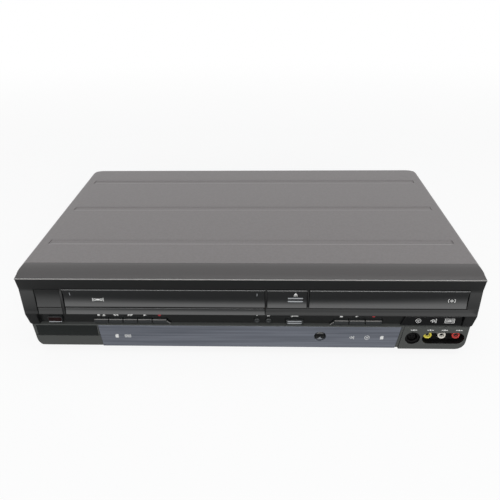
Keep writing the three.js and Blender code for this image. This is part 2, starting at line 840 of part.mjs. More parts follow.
function addCardDoor(group) {
  const [y, z] = cardPivot();
  const low = zBase + card.low;
  const high = zBase + card.high;
  const section = [
    ...arc([y, z], card.nose, 180, 360, 6),
    [y + card.nose, high],
    [y - card.nose, high],
  ];
  const panel = slab('x', section, cardSpan);
  const pins = rod('x', [y, z], card.nose - fit.shaft, wider(cardSpan, sheet), 12);
  piece('card_door', join(panel, pins), doorPlastic, group);
}

function addLowerFront(group) {
  const back = yGlass - fit.seat;
  const zSensor = zBase + (display.low + display.high) / 2;
  const sensorHole = rod('y', [sensor.x, zSensor], sensor.radius + fit.seat, [yCut, back + fit.overrun], 24);
  const pane = cut(slab('y', glassOutline(0), [back - glass.thickness, back]), sensorHole);
  piece('display_window', pane, windowPlastic, group);
  const lens = turned([
    [0, 0],
    [sensor.radius, 0],
    [sensor.radius, sensor.depth * 0.4],
    [sensor.radius * 0.8, sensor.depth * 0.8],
    [sensor.radius * 0.4, sensor.depth],
    [0, sensor.depth],
  ], 24);
  piece('ir_lens', lens, darkGloss, group, [sensor.x, back, zSensor]).rotation.x = Math.PI / 2;
  const plateBack = yFront + set.band - fit.seat;
  const low = zLower + fit.seat;
  const plate = [
    [xPlate - trimPlate.slant, low],
    [xRowEnd - fit.seat, low],
    [xRowEnd - fit.seat, low + trimPlate.height],
    [xPlate, low + trimPlate.height],
  ];
  piece('trim_plate', slab('y', plate, [plateBack - trimPlate.thickness, plateBack]), darkGloss, group);
}

// A pill shaped outline between two places on one level
function pill(left, right, z, radius) {
  return [...arc([right, z], radius, -90, 90, 8), ...arc([left, z], radius, 90, 270, 8)];
}

function addJackBay(group) {
  const faceY = yFront + set.lower;
  const bay = common(
    slab('y', frontOutline(0), [faceY, yBayBack]),
    slab('y', bayOutline(0), [faceY, yBayBack]),
  );
  const floor = yBayBack - jackBay.floor;
  const recess = slab('y', pill(jackPlaces[0], jackPlaces[2], zJack, jackBay.recess), [yCut, floor]);
  const holeSpan = [yCut, yBayBack + fit.overrun];
  const holes = jackPlaces.map((x) => rod('y', [x, zJack], jack.radius + fit.seat, holeSpan, 20));
  const round = rod('y', [xSocket, zJack], svideo.radius, [yCut, yBayBack + fit.overrun], 24);
  piece('jack_bay', cut(bay, recess, ...holes, round), keyPlastic, group);
  const colours = [yellowPlastic, whitePlastic, redPlastic];
  ['rca_jack_video', 'rca_jack_audio_left', 'rca_jack_audio_right'].forEach((name, index) => {
    const tip = floor - jack.reach;
    const behind = yBayBack + fit.seat;
    const whole = join(
      rod('y', [0, 0], jack.radius, [tip, behind + sheet], 20),
      block(mirrored(jack.body / 2), [behind, behind + jack.bodyDepth], mirrored(jack.body / 2)),
    );
    const bore = rod('y', [0, 0], jack.bore, [yCut, behind + sheet], 12);
    piece(name, cut(whole, bore), colours[index], group, [jackPlaces[index], 0, zJack]);
  });
  const front = faceY + svideo.setBack;
  const shell = join(
    rod('y', [0, 0], svideo.radius - fit.seat, [front, yBayBack + fit.seat + sheet], 24),
    block(mirrored(svideo.body / 2), [yBayBack + fit.seat, yBayBack + jack.bodyDepth], mirrored(svideo.body / 2)),
  );
  const cup = rod('y', [0, 0], svideo.inner, [yCut, front + svideo.cavity], 24);
  piece('svideo_socket', cut(shell, cup), blackPlastic, group, [xSocket, 0, zJack]);
}

function addFrontBoard(group) {
  const span = [xTrim, xBay - fit.overrun];
  const y = [yBoard, yBoard + board.thickness];
  const sheetSolid = block(span, y, [zBase + bezel.wall + sheet, zBand - sheet]);
  const tab = block([xButton + row.jamb, xTray - row.jamb], y, [zBand - 2 * sheet, zFace]);
  const switchX = [
    (powerSpan[0] + powerSpan[1]) / 2,
    ...tapeKeys.names.map((_, index) => tapeKeyStart + (index + 0.5) * tapeKeys.pitch - key.gap / 2),
    ...channelPlaces,
    xDub,
    ...discKeys.names.map((_, index) => (discKeyEdges[index] + discKeyEdges[index + 1] - key.gap) / 2),
  ];
  const size = board.switchSize;
  const zKey = keyLow + key.height / 2;
  const depth = [ySwitch, yBoard + sheet / 2];
  const switches = switchX.map((x) => block(around(x, size), depth, around(zKey, size)));
  const trayX = (xButton + xTray) / 2;
  switches.push(block(around(trayX, size), [ySwitch, yBoard + sheet / 2], around((zLip + zFace) / 2, size)));
  piece('front_board', join(sheetSolid, tab, ...switches), brownBoard, group);
  const envelope = block(
    [display.left - tube.rim, display.right + tube.rim],
    [yWall + fit.seat, yBoard - fit.seat],
    [zBase + display.low - tube.rim, zBase + display.high + tube.rim],
  );
  piece('display_tube', envelope, glassTube, group);
}

const deckHalf = cassette.width / 2 + deck.margin;
const holderHalf = cassette.width / 2 + holder.play + holder.wall;
const yokeHalf = holderHalf + fit.seat + yoke.wall;
const railHalf = yokeHalf + fit.seat + rail.wall;
const yHolder = yDeck + holder.lead;
const yLoaded = yHolder + holder.length + holder.travel;
const yReel = yLoaded - cassette.depth + cassette.reelInset;
const xReel = cassette.width / 2 - cassette.reelWidth;
const yDrum = yDeck + deck.length - drum.inset;
const capstanPlace = [cassette.width / 2 - capstan.sideWidth, yDrum - capstan.inset];
const lineAngle = THREE.MathUtils.degToRad(pinch.lineAngle);
const pressGap = capstan.radius + pinch.rollerRadius + fit.seat;
const pinchPivot = [
  capstanPlace[0] + pressGap * Math.cos(lineAngle) + pinch.armLength,
  capstanPlace[1] + pressGap * Math.sin(lineAngle),
];
const deckLegs = [-1, 1].flatMap((side) => {
  const inset = deck.legRadius + sheet;
  return [yDeck + inset, yDeck + deck.length - inset].map((y) => [side * (deckHalf - inset), y]);
});

function addDeckPlate(group) {
  const plate = block(mirrored(deckHalf), [yDeck, yDeck + deck.length], [zDeck, zDeckTop]);
  const rails = [-1, 1].map((side) => {
    const x = onSide(side, railHalf - rail.wall, railHalf);
    return block(x, [yHolder, yHolder + rail.length], [zDeck, zDeckTop + rail.height]);
  });
  const legs = deckLegs.map((place) => rod('z', place, deck.legRadius, [zFloor + fit.seat, zDeck + sheet], 12));
  const posts = [-1, 1].map((side) => {
    const place = [side * xReel, yReel];
    return rod('z', place, reel.post, [zDeck, zDeckTop + reel.height / 2], 16);
  });
  const pivot = rod('z', pinchPivot, reel.post, [zDeck, zDeckTop + 3 * pinch.armThickness], 16);
  const throughDeck = [zDeck - fit.overrun, zDeckTop + fit.overrun];
  const bearing = rod('z', capstanPlace, capstan.radius + fit.shaft, throughDeck, 16);
  piece('tape_deck_plate', cut(join(plate, ...rails, ...legs, ...posts, pivot), bearing), zincSteel, group);
}

function addReels(group) {
  const bore = reel.post + fit.shaft;
  const depth = reel.height / 2 + fit.seat;
  const shape = turned([
    [bore, 0],
    [reel.flangeRadius, 0],
    [reel.flangeRadius, reel.flange],
    [reel.hubRadius, reel.flange],
    [reel.hubRadius, reel.hub],
    [reel.spindleRadius, reel.hub],
    [reel.spindleRadius, reel.height * 0.85],
    [reel.spindleRadius / 2, reel.height],
    [0, reel.height],
    [0, depth],
    [bore, depth],
    [bore, 0],
  ], 24);
  const z = zDeckTop + fit.seat;
  piece('supply_reel_table', shape, whitePlastic, group, [-xReel, yReel, z]);
  piece('takeup_reel_table', shape, whitePlastic, group, [xReel, yReel, z]);
}

function addDrum(group) {
  const tilt = THREE.MathUtils.degToRad(drum.tilt);
  const lift = zDeckTop + drum.lift;
  const body = rod('z', [0, 0], drum.radius, [-2 * drum.lift, drum.lower], 36).rotateX(tilt);
  const above = block(mirrored(2 * drum.radius), mirrored(2 * drum.radius), [fit.seat - drum.lift, 2 * drum.radius]);
  piece('lower_drum', common(body, above), brightMetal, group, [0, yDrum, lift]);
  const rise = drum.lower + fit.seat;
  const shape = turned([
    [0, rise],
    [drum.radius, rise],
    [drum.radius, rise + drum.upper],
    [drum.hubRadius, rise + drum.upper],
    [drum.hubRadius, rise + drum.upper + drum.hub],
    [0, rise + drum.upper + drum.hub],
  ], 36);
  piece('head_drum', shape, brightMetal, group, [0, yDrum, lift]).rotation.x = tilt;
}

function addCapstan(group) {
  const low = -deck.sheet - capstan.drop;
  const shape = turned([
    [0, low - capstan.wheel],
    [capstan.wheelRadius, low - capstan.wheel],
    [capstan.wheelRadius, low],
    [capstan.radius, low],
    [capstan.radius, capstan.height],
    [0, capstan.height],
  ], 28);
  piece('capstan', shape, brightMetal, group, [...capstanPlace, zDeckTop]);
  const open = THREE.MathUtils.degToRad(180 - pinch.openAngle);
  const arm = new THREE.Group();
  arm.position.set(...pinchPivot, zDeckTop + fit.seat);
  arm.rotation.z = open;
  group.add(arm);
  const link = join(
    rod('z', [0, 0], pinch.armWidth / 2 + sheet, [0, pinch.armThickness]),
    rod('z', [pinch.armLength, 0], pinch.armWidth / 2, [0, pinch.armThickness]),
    block([0, pinch.armLength], mirrored(pinch.armWidth / 2), [0, pinch.armThickness]),
    rod('z', [pinch.armLength, 0], capstan.radius, [0, pinch.armThickness + fit.seat + pinch.rollerHeight], 16),
  );
  const bore = rod('z', [0, 0], reel.post + fit.shaft, [-sheet, pinch.armThickness + sheet], 16);
  piece('pinch_arm', cut(link, bore), zincSteel, arm);
  const inner = capstan.radius + fit.shaft;
  const roller = turned([
    [inner, 0],
    [pinch.rollerRadius, 0],
    [pinch.rollerRadius, pinch.rollerHeight],
    [inner, pinch.rollerHeight],
    [inner, 0],
  ], 24);
  piece('pinch_roller', roller, rubber, arm, [pinch.armLength, 0, pinch.armThickness + fit.seat]);
}

function addHolder(group) {
  const span = [yHolder, yHolder + holder.length];
  const low = zSlot - holder.wall;
  const high = zSlot + cassette.height + holder.headroom + holder.wall;
  const outer = block(mirrored(holderHalf), span, [low, high]);
  const inside = block(
    mirrored(holderHalf - holder.wall),
    [span[0] - fit.overrun, span[1] + fit.overrun],
    [zSlot, high - holder.wall],
  );
  const gap = block(mirrored(holderHalf - holder.shelf), wider(span, fit.overrun), [low - sheet, zSlot + sheet]);
  piece('cassette_holder', cut(outer, inside, gap), zincSteel, group);
  const yokeSpan = [yHolder + yoke.back, yHolder + yoke.back + yoke.length];
  const top = high + fit.seat + yoke.barHeight;
  const plates = [-1, 1].map((side) => {
    return block(onSide(side, yokeHalf - yoke.wall, yokeHalf), yokeSpan, [zDeckTop + fit.seat, top]);
  });
  const middle = (yokeSpan[0] + yokeSpan[1]) / 2;
  const bar = block(mirrored(yokeHalf), around(middle, yoke.barDepth), [top - yoke.barHeight, top]);
  piece('loading_slider', join(...plates, bar), greyPlastic, group);
}

const driveHalf = tray.half + tray.play + drive.wall;
const yDrive = yBoard + board.thickness + drive.lead + drive.wall / 2;
const zDrive = zTray - drive.floorDrop - drive.wall;
const zTraverse = zTray - drive.floorDrop + drive.wall * 2;
const zPlate = zTraverse + traverse.thickness;
const yHinge = yTrayEnd + drive.wall;

function addTray(group) {
  const blank = block(mirrored(tray.half), [yTrayFront, yTrayEnd], [zTray, zTrayTop]);
  const recess = rod('z', [0, yHub], disc.radius + tray.play, [zTray + tray.floor, zTrayTop + fit.overrun], 48);
  const slot = [
    ...arc([0, yHub], tray.slotHalf, 180, 360, 12),
    [tray.slotHalf, yTrayEnd + fit.overrun],
    [-tray.slotHalf, yTrayEnd + fit.overrun],
  ];
  const gap = slab('z', slot, [zTray - fit.overrun, zTrayTop + fit.overrun]);
  piece('disc_tray', cut(blank, recess, gap), blackPlastic, group);
  const half = trayDoorWidth / 2 - fit.play;
  const face = slab('x', faceSection(zLip + fit.play, zFace - fit.seat, door.thickness), mirrored(half));
  piece('tray_door', face, doorPlastic, group);
}

function addDrive(group) {
  const floor = block(mirrored(driveHalf), [yDrive, yDriveEnd], [zDrive, zDrive + drive.wall]);
  const open = block(mirrored(drive.openHalf), [yDrive + drive.leg, yHinge - drive.leg], [zDrive - sheet, zPlate]);
  const high = zTray + drive.sideRise + tray.thickness;
  const walls = [-1, 1].flatMap((side) => {
    const y = [yDrive, yDriveEnd];
    const ledge = [zTray - fit.seat - drive.wall, zTray - fit.seat];
    return [
      block(onSide(side, driveHalf - drive.wall, driveHalf), y, [zDrive, high]),
      block(onSide(side, driveHalf - drive.wall - drive.ledge, driveHalf), y, ledge),
    ];
  });
  const back = block(mirrored(driveHalf), [yDriveEnd - drive.wall, yDriveEnd], [zDrive, high]);
  const beam = block(mirrored(driveHalf), around(yHub, 2 * bridge.half), [high - bridge.thickness, high]);
  const hole = rod('z', [0, yHub], bridge.hole, [high - fit.overrun, high + fit.overrun]);
  const legs = [-1, 1].flatMap((side) => {
    const x = around(side * (driveHalf - drive.leg), drive.leg);
    return [yDrive + drive.leg * 2, yDriveEnd - drive.leg * 1.5].map((y) => {
      return block(x, around(y, drive.leg), [zFloor + fit.seat, zDrive + sheet]);
    });
  });
  const lugs = [-1, 1].map((side) => {
    const x = around(side * (traverse.hingeHalf + drive.leg / 2 + fit.seat), drive.leg);
    return block(x, around(yHinge, drive.leg), [zDrive, zPlate + drive.wall]);
  });
  const reach = traverse.hingeHalf + drive.leg / 2 + fit.seat;
  const pinHole = rod('x', hingePlace(), traverse.rodRadius + fit.shaft, mirrored(reach), 12);
  const frame = cut(join(floor, ...walls, back, beam, ...legs), open, hole);
  piece('drive_housing', cut(join(frame, ...lugs), pinHole), blackPlastic, group);
}

function hingePlace() {
  return [yHinge, zTraverse + traverse.thickness / 2];
}

const yPickup = yHub + pickup.fromHub;
const yPickupEnd = yPickup + pickup.length + pickup.travel;
const zRod = zPlate + pickup.rise / 2;

function addTraverse(group) {
  const front = yHub - disc.smallRadius;
  const plate = block(mirrored(traverse.half), [front, yHinge - fit.seat], [zTraverse, zPlate]);
  const slot = block(
    mirrored(traverse.rodX - 2 * traverse.rodRadius),
    [yPickup, yPickupEnd],
    [zTraverse - fit.overrun, zPlate + fit.overrun],
  );
  const throughPlate = [zTraverse - fit.overrun, zPlate + fit.overrun];
  const motorHole = rod('z', [0, yHub], hub.motorRadius + fit.shaft, throughPlate, 20);
  const pin = rod('x', hingePlace(), traverse.rodRadius, mirrored(traverse.hingeHalf + drive.leg / 2), 12);
  const barrel = rod('x', hingePlace(), traverse.hingeRadius, mirrored(traverse.hingeHalf - fit.seat), 12);
  const lugSpan = [yPickup - fit.seat - drive.wall, yPickupEnd + fit.seat];
  const rods = [-1, 1].flatMap((side) => {
    const x = side * traverse.rodX;
    const lugHeight = [zPlate - sheet, zRod + drive.wall];
    const lugs = lugSpan.map((y) => block(around(x, 2 * drive.wall), [y, y + drive.wall], lugHeight));
    return [rod('y', [x, zRod], traverse.rodRadius, [lugSpan[0] + sheet, lugSpan[1] + sheet], 12), ...lugs];
  });
  const notches = [-1, 1].map((side) => {
    const x = around(side * (traverse.hingeHalf + fit.overrun - sheet), 2 * fit.overrun);
    const y = [yHinge - drive.leg / 2 - 2 * sheet, yHinge + drive.leg];
    return block(x, y, [zTraverse - sheet, zPlate + sheet]);
  });
  const base = join(cut(plate, slot, motorHole, ...notches), pin, barrel);
  piece('traverse_plate', join(base, ...rods), zincSteel, group);
}

function addDiscParts(group) {
  const low = -traverse.thickness - hub.motor;
  const seat = fit.seat + hub.rotor;
  const shape = turned([
    [0, low],
    [hub.motorRadius, low],
    [hub.motorRadius, fit.seat],
    [hub.rotorRadius, fit.seat],
    [hub.rotorRadius, seat],
    [disc.hole + hub.cone, seat],
    [disc.hole + hub.cone, seat + hub.platter],
    [disc.hole - fit.play, seat + hub.platter],
    [disc.hole - fit.play - hub.cone / 2, seat + hub.platter + hub.cone],
    [0, seat + hub.platter + hub.cone],
  ], 28);
  piece('disc_turntable', shape, blackPlastic, group, [0, yHub, zPlate]);
  const body = block(mirrored(pickup.half), [0, pickup.length], [fit.seat, pickup.rise]);
  const bores = [-1, 1].map((side) => {
    const centre = [side * traverse.rodX, pickup.rise / 2];
    return rod('y', centre, traverse.rodRadius + fit.shaft, wider([0, pickup.length], sheet), 12);
  });
  const lensHeight = [pickup.rise - sheet, pickup.rise + pickup.lens];
  const lens = rod('z', [0, pickup.length / 3], pickup.lensRadius, lensHeight, 20);
  piece('optical_pickup', join(cut(body, ...bores), lens), greyPlastic, group, [0, yPickup, zPlate]);
  const discTop = zPlate + seat + hub.platter;
  const beamTop = zTray + drive.sideRise + tray.thickness;
  const capLow = beamTop + fit.seat;
  const pocket = disc.hole + fit.seat;
  const puck = turned([
    [0, clamp.lift + clamp.puck],
    [0, hub.cone + fit.seat],
    [pocket, hub.cone + fit.seat],
    [pocket, clamp.lift],
    [clamp.radius, clamp.lift],
    [clamp.radius, clamp.lift + clamp.puck],
    [clamp.neckRadius, clamp.lift + clamp.puck],
    [clamp.neckRadius, capLow - discTop],
    [clamp.capRadius, capLow - discTop],
    [clamp.capRadius, capLow - discTop + clamp.cap],
    [0, capLow - discTop + clamp.cap],
  ].slice(1), 28);
  piece('disc_clamp', puck, greyPlastic, group, [0, yHub, discTop]);
}

function addBoards(group) {
  const depth = [yDeck + fit.overrun, yPanel - fit.seat * 4];
  const plate = block(mainSpan, depth, [zBoard, zBoardTop]);
  const legRoom = deck.legRadius + fit.seat * 2;
  const legHoles = deckLegs.map(([x, y]) => rod('z', [x + xDeck, y], legRoom, [zPan, zDeck], 12));
  const tunerBox = block(
    [mainSpan[0] + fit.overrun, mainSpan[0] + fit.overrun + tuner.width],
    [depth[1] - tuner.depth, depth[1]],
    [zBoardTop - sheet, zBoardTop + tuner.height],
  );
  const chipSize = tuner.depth;
  const chips = mainBoard.chipShares.map((share) => {
    const x = around(xDeck + share * cassette.depth, chipSize);
    return block(x, around(share * chipSize, chipSize), [zBoard + sheet, zBoardTop + sheet]);
  });
  piece('main_board', cut(join(plate, tunerBox, ...chips), ...legHoles), greenBoard, group);
  const lowest = zBoardTop - sheet;
  const middle = (supplyDepth[0] + supplyDepth[1]) / 2;
  const canEnd = supplySpan[1] - supply.edge;
  const canDepth = around(middle - supply.edge, supply.canShare * supplyLength);
  const sinkDepth = around(middle + supply.edge / 2, supply.sinkThickness);
  const caps = [0, 1, 2].map((index) => {
    const x = supplySpan[0] + supply.edge + index * supply.capPitch;
    const height = [lowest, zBoardTop + supply.capHeight];
    return rod('z', [x, supplyDepth[0] + supply.edge], supply.capRadius, height, 20);
  });
  const solid = join(
    block(supplySpan, supplyDepth, [zBoard, zBoardTop]),
    block([canEnd - supply.canWidth, canEnd], canDepth, [lowest, lowest + supply.canHeight]),
    block(around(xDrive - supply.edge, supply.sinkWidth), sinkDepth, [lowest, lowest + supply.sinkHeight]),
    ...caps,
  );
  piece('power_board', solid, brownBoard, group);
}

const jackRows = Array.from({ length: jackBlock.rows }, (_, index) => {
  return zBoardTop + fit.seat + (jackBlock.height * (index + 0.5)) / jackBlock.rows;
});
const jackColumns = Array.from({ length: jackBlock.columns }, (_, index) => {
  return jackBlockSpan[0] + ((jackBlockSpan[1] - jackBlockSpan[0]) * (index + 0.5)) / jackBlock.columns;
});
const zInlet = zBoardTop + fit.seat + inlet.lift + inlet.height / 2;
const zFan = zPan + fan.lift + fan.size / 2;

function addRearPanel(group) {
  const half = coverHalf - cover.corner + fit.seat;
  const outside = [yPanel - fit.overrun, yPanel + fit.overrun];
  const top = zTop - sheet - groove.depth - fit.seat;
  const panel = block(mirrored(half), [yPanel, yPanel + sheet], [zFloor + fit.seat, top]);
  const jackHoles = jackRows.flatMap((z) => jackColumns.map((x) => {
    return rod('y', [x, z], jackBlock.radius + fit.seat, outside, 12);
  }));
  const inletWidth = wider(around(xInlet, inlet.width), fit.seat);
  const inletHole = block(inletWidth, outside, wider(around(zInlet, inlet.height), fit.seat));
  const slots = Array.from({ length: fan.slots }, (_, index) => {
    const offset = ((index - (fan.slots - 1) / 2) * 2 * fan.bore) / fan.slots;
    const reach = Math.sqrt(fan.bore ** 2 - offset ** 2);
    return block(around(xFan + offset, fan.bore / fan.slots), outside, [zFan - reach, zFan + reach]);
  });
  piece('rear_panel', cut(panel, ...jackHoles, inletHole, ...slots), zincSteel, group);
}

function addJackBlock(group) {
  const back = yPanel - fit.seat;
  const low = zBoardTop + fit.seat;
  const height = [low, low + jackBlock.height];
  const body = block(jackBlockSpan, [back - jackBlock.depth, back], height);
  const barrels = jackRows.flatMap((z) => jackColumns.map((x) => {
    return rod('y', [x, z], jackBlock.radius, [back - sheet, yBack + socketReach], 14);
  }));
  const bores = jackRows.flatMap((z) => jackColumns.map((x) => {
    return rod('y', [x, z], jackBlock.bore, [back, yBack + socketReach + fit.overrun], 8);
  }));
  piece('rear_jack_block', cut(join(body, ...barrels), ...bores), blackPlastic, group);
}

function addInlet(group) {
  const outer = yPanel + sheet + fit.seat;
  const depth = [outer - inlet.depth, outer + sheet];
  const body = block(around(xInlet, inlet.width), depth, around(zInlet, inlet.height));
  const base = block(
    around(xInlet, inlet.width),
    [outer - inlet.depth, yPanel - fit.seat],
    [zBoardTop + fit.seat, zInlet],
  );
  const rim = block(
    around(xInlet, inlet.width + 2 * inlet.rim),
    [outer, outer + 2 * sheet],
    around(zInlet, inlet.height + 2 * inlet.rim),
  );
  const face = outer + 2 * sheet;
  const radius = inlet.height / 2 - 2 * sheet;
  const reach = inlet.width / 2 - radius - sheet;
  const outline = pill(xInlet - reach, xInlet + reach, zInlet, radius);
  const bottom = face - inlet.cavity;
  const cavity = slab('y', outline, [bottom, face + sheet]);
  const pins = [-0.5, 0.5].map((side) => {
    const place = [xInlet + side * inlet.pinPitch, zInlet];
    return rod('y', place, inlet.pinRadius, [bottom - sheet, bottom + inlet.pin], 12);
  });
  piece('mains_inlet', join(cut(join(body, base, rim), cavity), ...pins), blackPlastic, group);
}

function addFan(group) {
  const back = yPanel - fit.seat;
  const frontY = back - fan.depth;
  const frame = cut(
    block(around(xFan, fan.size), [frontY, back], around(zFan, fan.size)),
    rod('y', [xFan, zFan], fan.bore, [frontY - fit.overrun, back + fit.overrun], 32),
  );
  const arm = 2 * sheet;
  const spider = [
    block(around(xFan, arm), [frontY, frontY + arm], [zFan, zFan + fan.size / 2]),
    block([xFan, xFan + fan.size / 2], [frontY, frontY + arm], around(zFan, arm)),
    block(around(xFan, arm), [frontY, frontY + arm], [zFan - fan.size / 2, zFan]),
    rod('y', [xFan, zFan], fan.hub, [frontY, frontY + arm], 24),
    rod('y', [xFan, zFan], fan.shaft, [frontY, frontY + 2 * arm], 12),
  ];
  piece('fan_frame', join(frame, ...spider), blackPlastic, group);
  const start = arm + fit.seat;
  const length = fan.depth - start - fan.gap;
  const rotorHub = cut(
    rod('y', [0, 0], fan.hub, [start, start + length], 24),
    rod('y', [0, 0], fan.shaft + fit.shaft, [0, 2 * arm + fit.seat], 12),
  );
  const reach = fan.bore - fan.gap;
  const blades = Array.from({ length: fan.blades }, (_, index) => {
    const blade = block([fan.hub - sheet, reach - fan.gap], mirrored(length / 2), mirrored(sheet / 2));
    blade.rotateX(THREE.MathUtils.degToRad(fan.tilt)).translate(0, start + length / 2, 0);
    return blade.rotateY((index * 2 * Math.PI) / fan.blades);
  });
  piece('fan_rotor', join(rotorHub, ...blades), greyPlastic, group, [xFan, frontY, zFan]);
}

const cabinet = subAssembly();
addCover(cabinet);
addPan(cabinet);
addFeet(cabinet);
addScrews(cabinet);
addRearPanel(cabinet);

const frontPanel = subAssembly();
addBezel(frontPanel);
addKeys(frontPanel);
addTrayButton(frontPanel);
addCassetteDoor(frontPanel);
addCardDoor(frontPanel);
addLowerFront(frontPanel);
addJackBay(frontPanel);
addFrontBoard(frontPanel);

const tapeDeck = subAssembly([xDeck, 0, 0]);
addDeckPlate(tapeDeck);
addReels(tapeDeck);
addDrum(tapeDeck);
addCapstan(tapeDeck);
addHolder(tapeDeck);

const discDrive = subAssembly([xDrive, 0, 0]);
addTray(discDrive);
addDrive(discDrive);
addTraverse(discDrive);
addDiscParts(discDrive);

const electronics = subAssembly();
addBoards(electronics);
addJackBlock(electronics);
addInlet(electronics);
addFan(electronics);

export default player;
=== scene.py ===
"""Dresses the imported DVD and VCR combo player: the shapes, finishes, light and camera of its photograph.

Sizes are millimetres in the object's own frame, and turn to metres where they reach Blender. The front
faces -Y, +Z is up, and the origin is the middle of the footprint on the shelf.
"""

import json
import logging
import math
from dataclasses import dataclass
from enum import Enum
from typing import Callable, Sequence

import bpy
from mathutils import Matrix, Vector


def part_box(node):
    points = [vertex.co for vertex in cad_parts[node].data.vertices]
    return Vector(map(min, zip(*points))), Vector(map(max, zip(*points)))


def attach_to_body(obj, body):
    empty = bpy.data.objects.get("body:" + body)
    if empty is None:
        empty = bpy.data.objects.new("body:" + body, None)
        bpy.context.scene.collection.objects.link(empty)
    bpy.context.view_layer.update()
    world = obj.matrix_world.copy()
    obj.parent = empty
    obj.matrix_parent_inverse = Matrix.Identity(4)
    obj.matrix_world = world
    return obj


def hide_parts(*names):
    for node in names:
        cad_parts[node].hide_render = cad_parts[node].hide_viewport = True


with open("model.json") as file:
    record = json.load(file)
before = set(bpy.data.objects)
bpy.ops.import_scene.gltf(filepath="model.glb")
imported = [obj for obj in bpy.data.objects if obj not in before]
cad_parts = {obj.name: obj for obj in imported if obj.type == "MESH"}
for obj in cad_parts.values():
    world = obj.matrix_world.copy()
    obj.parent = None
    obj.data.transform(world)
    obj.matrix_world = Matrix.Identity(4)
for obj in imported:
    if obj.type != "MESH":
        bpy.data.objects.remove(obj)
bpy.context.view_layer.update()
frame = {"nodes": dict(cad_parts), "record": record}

MM = 0.001
FAR = math.inf
LOG = logging.getLogger("player")

Object = bpy.types.Object
Socket = bpy.types.NodeSocket
Tree = bpy.types.NodeTree
Point = Sequence[float]
Span = tuple[float, float]
Test = Callable[[Vector, Vector], bool]

# How a finish draws its pattern
CONTRAST = (0.3, 0.7)
BUMP_STRENGTH = 0.6
COAT_ROUGHNESS = 0.05
STREAK = (0.02, 1.0, 1.0)
WAVE_SCALE = 6
RING_DISTORTION = 0.3

# The colour inputs of a mix node
FIRST_COLOUR, SECOND_COLOUR = 6, 7

# How straight a face looks one way, and which angles are rounded, shaded smooth or taken as flat
FACING = 0.99
BEVEL_ANGLE = math.radians(30)
SMOOTH_ANGLE = math.radians(35)
FLAT_ANGLE = math.radians(1)

# How close two vertices are merged, in turned pieces and in copies of the CAD, in metres
TURNED_WELD = MM / 1000
CAD_WELD = MM / 200

# How many faces go round a turned piece
HOLE_SIDES, PIN_SIDES, SCREW_SIDES, JACK_SIDES, RING_SIDES, DOME_SIDES, FOOT_SIDES = 12, 20, 24, 28, 36, 40, 48

# A screw's head as shares of its radius and height, its shank's tip, its cross recess and its edges
HEAD_CURVE = ((1, 0), (1, 0.3), (0.82, 0.75), (0.5, 1), (0, 1))
TIP_SHARE, TIP_LENGTH = 0.75, 0.8
ARM_SHARE, REACH_SHARE, RECESS_SHARE = 0.14, 0.55, 0.5
HEAD_EDGE = 0.12

# How low the studio's floor lies, in metres
FLOOR_DROP = -0.0002


# Colour and nodes


def linear(colour: str) -> tuple[float, float, float, float]:
    """Turn an sRGB hex colour into a linear one.

    Args:
        colour: Six hex digits after a hash sign.

    Returns:
        Linear red, green, blue and an alpha of one.
    """
    channels = [int(colour[place:place + 2], 16) / 255 for place in (1, 3, 5)]
    red, green, blue = [c / 12.92 if c <= 0.04045 else ((c + 0.055) / 1.055) ** 2.4 for c in channels]
    return red, green, blue, 1.0


def clear_nodes(owner: bpy.types.Material | bpy.types.World) -> Tree:
    """Give a material or a world an empty node tree.

    Args:
        owner: The material or world.

    Returns:
        The node tree.
    """
    owner.use_nodes = True
    owner.node_tree.nodes.clear()
    return owner.node_tree


def add_node(tree: Tree, kind: str, inputs: dict | None = None, **settings: object) -> bpy.types.Node:
    """Add a node with its settings, values and links.

    Args:
        tree: The node tree that takes the node.
        kind: Blender's name for the kind of node.
        inputs: Input names or numbers, each with a value or with the output socket it is linked to.
        **settings: The node's own properties.

    Returns:
        The new node.
    """
    node = tree.nodes.new(kind)
    for name, value in settings.items():
        setattr(node, name, value)
    for name, value in (inputs or {}).items():
        if isinstance(value, Socket):
            tree.links.new(value, node.inputs[name])
        else:
            node.inputs[name].default_value = value
    return node


def calculate(tree: Tree, operation: str, *values: float | Socket) -> Socket:
    """Add a node that calculates with values and sockets, and return its result."""
    return add_node(tree, "ShaderNodeMath", dict(enumerate(values)), operation=operation).outputs[0]


def map_range(tree: Tree, value: Socket, start: Point, end: Point, curve: str = "LINEAR") -> Socket:
    """Map a value from one range to another.

    Args:
        tree: The node tree.
        value: The value.
        start: The range that it comes from.
        end: The range that it goes to.
        curve: Blender's name for the way between them.

    Returns:
        The mapped value.
    """
    ends = {"From Min": start[0], "From Max": start[1], "To Min": end[0], "To Max": end[1]}
    return add_node(tree, "ShaderNodeMapRange", {"Value": value} | ends, interpolation_type=curve).outputs[0]


class Grain(Enum):
    """How a surface was made, as the pattern that it leaves."""

    CAST = "fine pebble of a spark eroded mould"
    PEEL = "soft orange peel of sprayed paint"
    DRAWN = "streaks along the width"
    SPANGLE = "zinc crystals"
    TURNED = "rings left by a lathe"
    WOVEN = "glass cloth under lacquer"


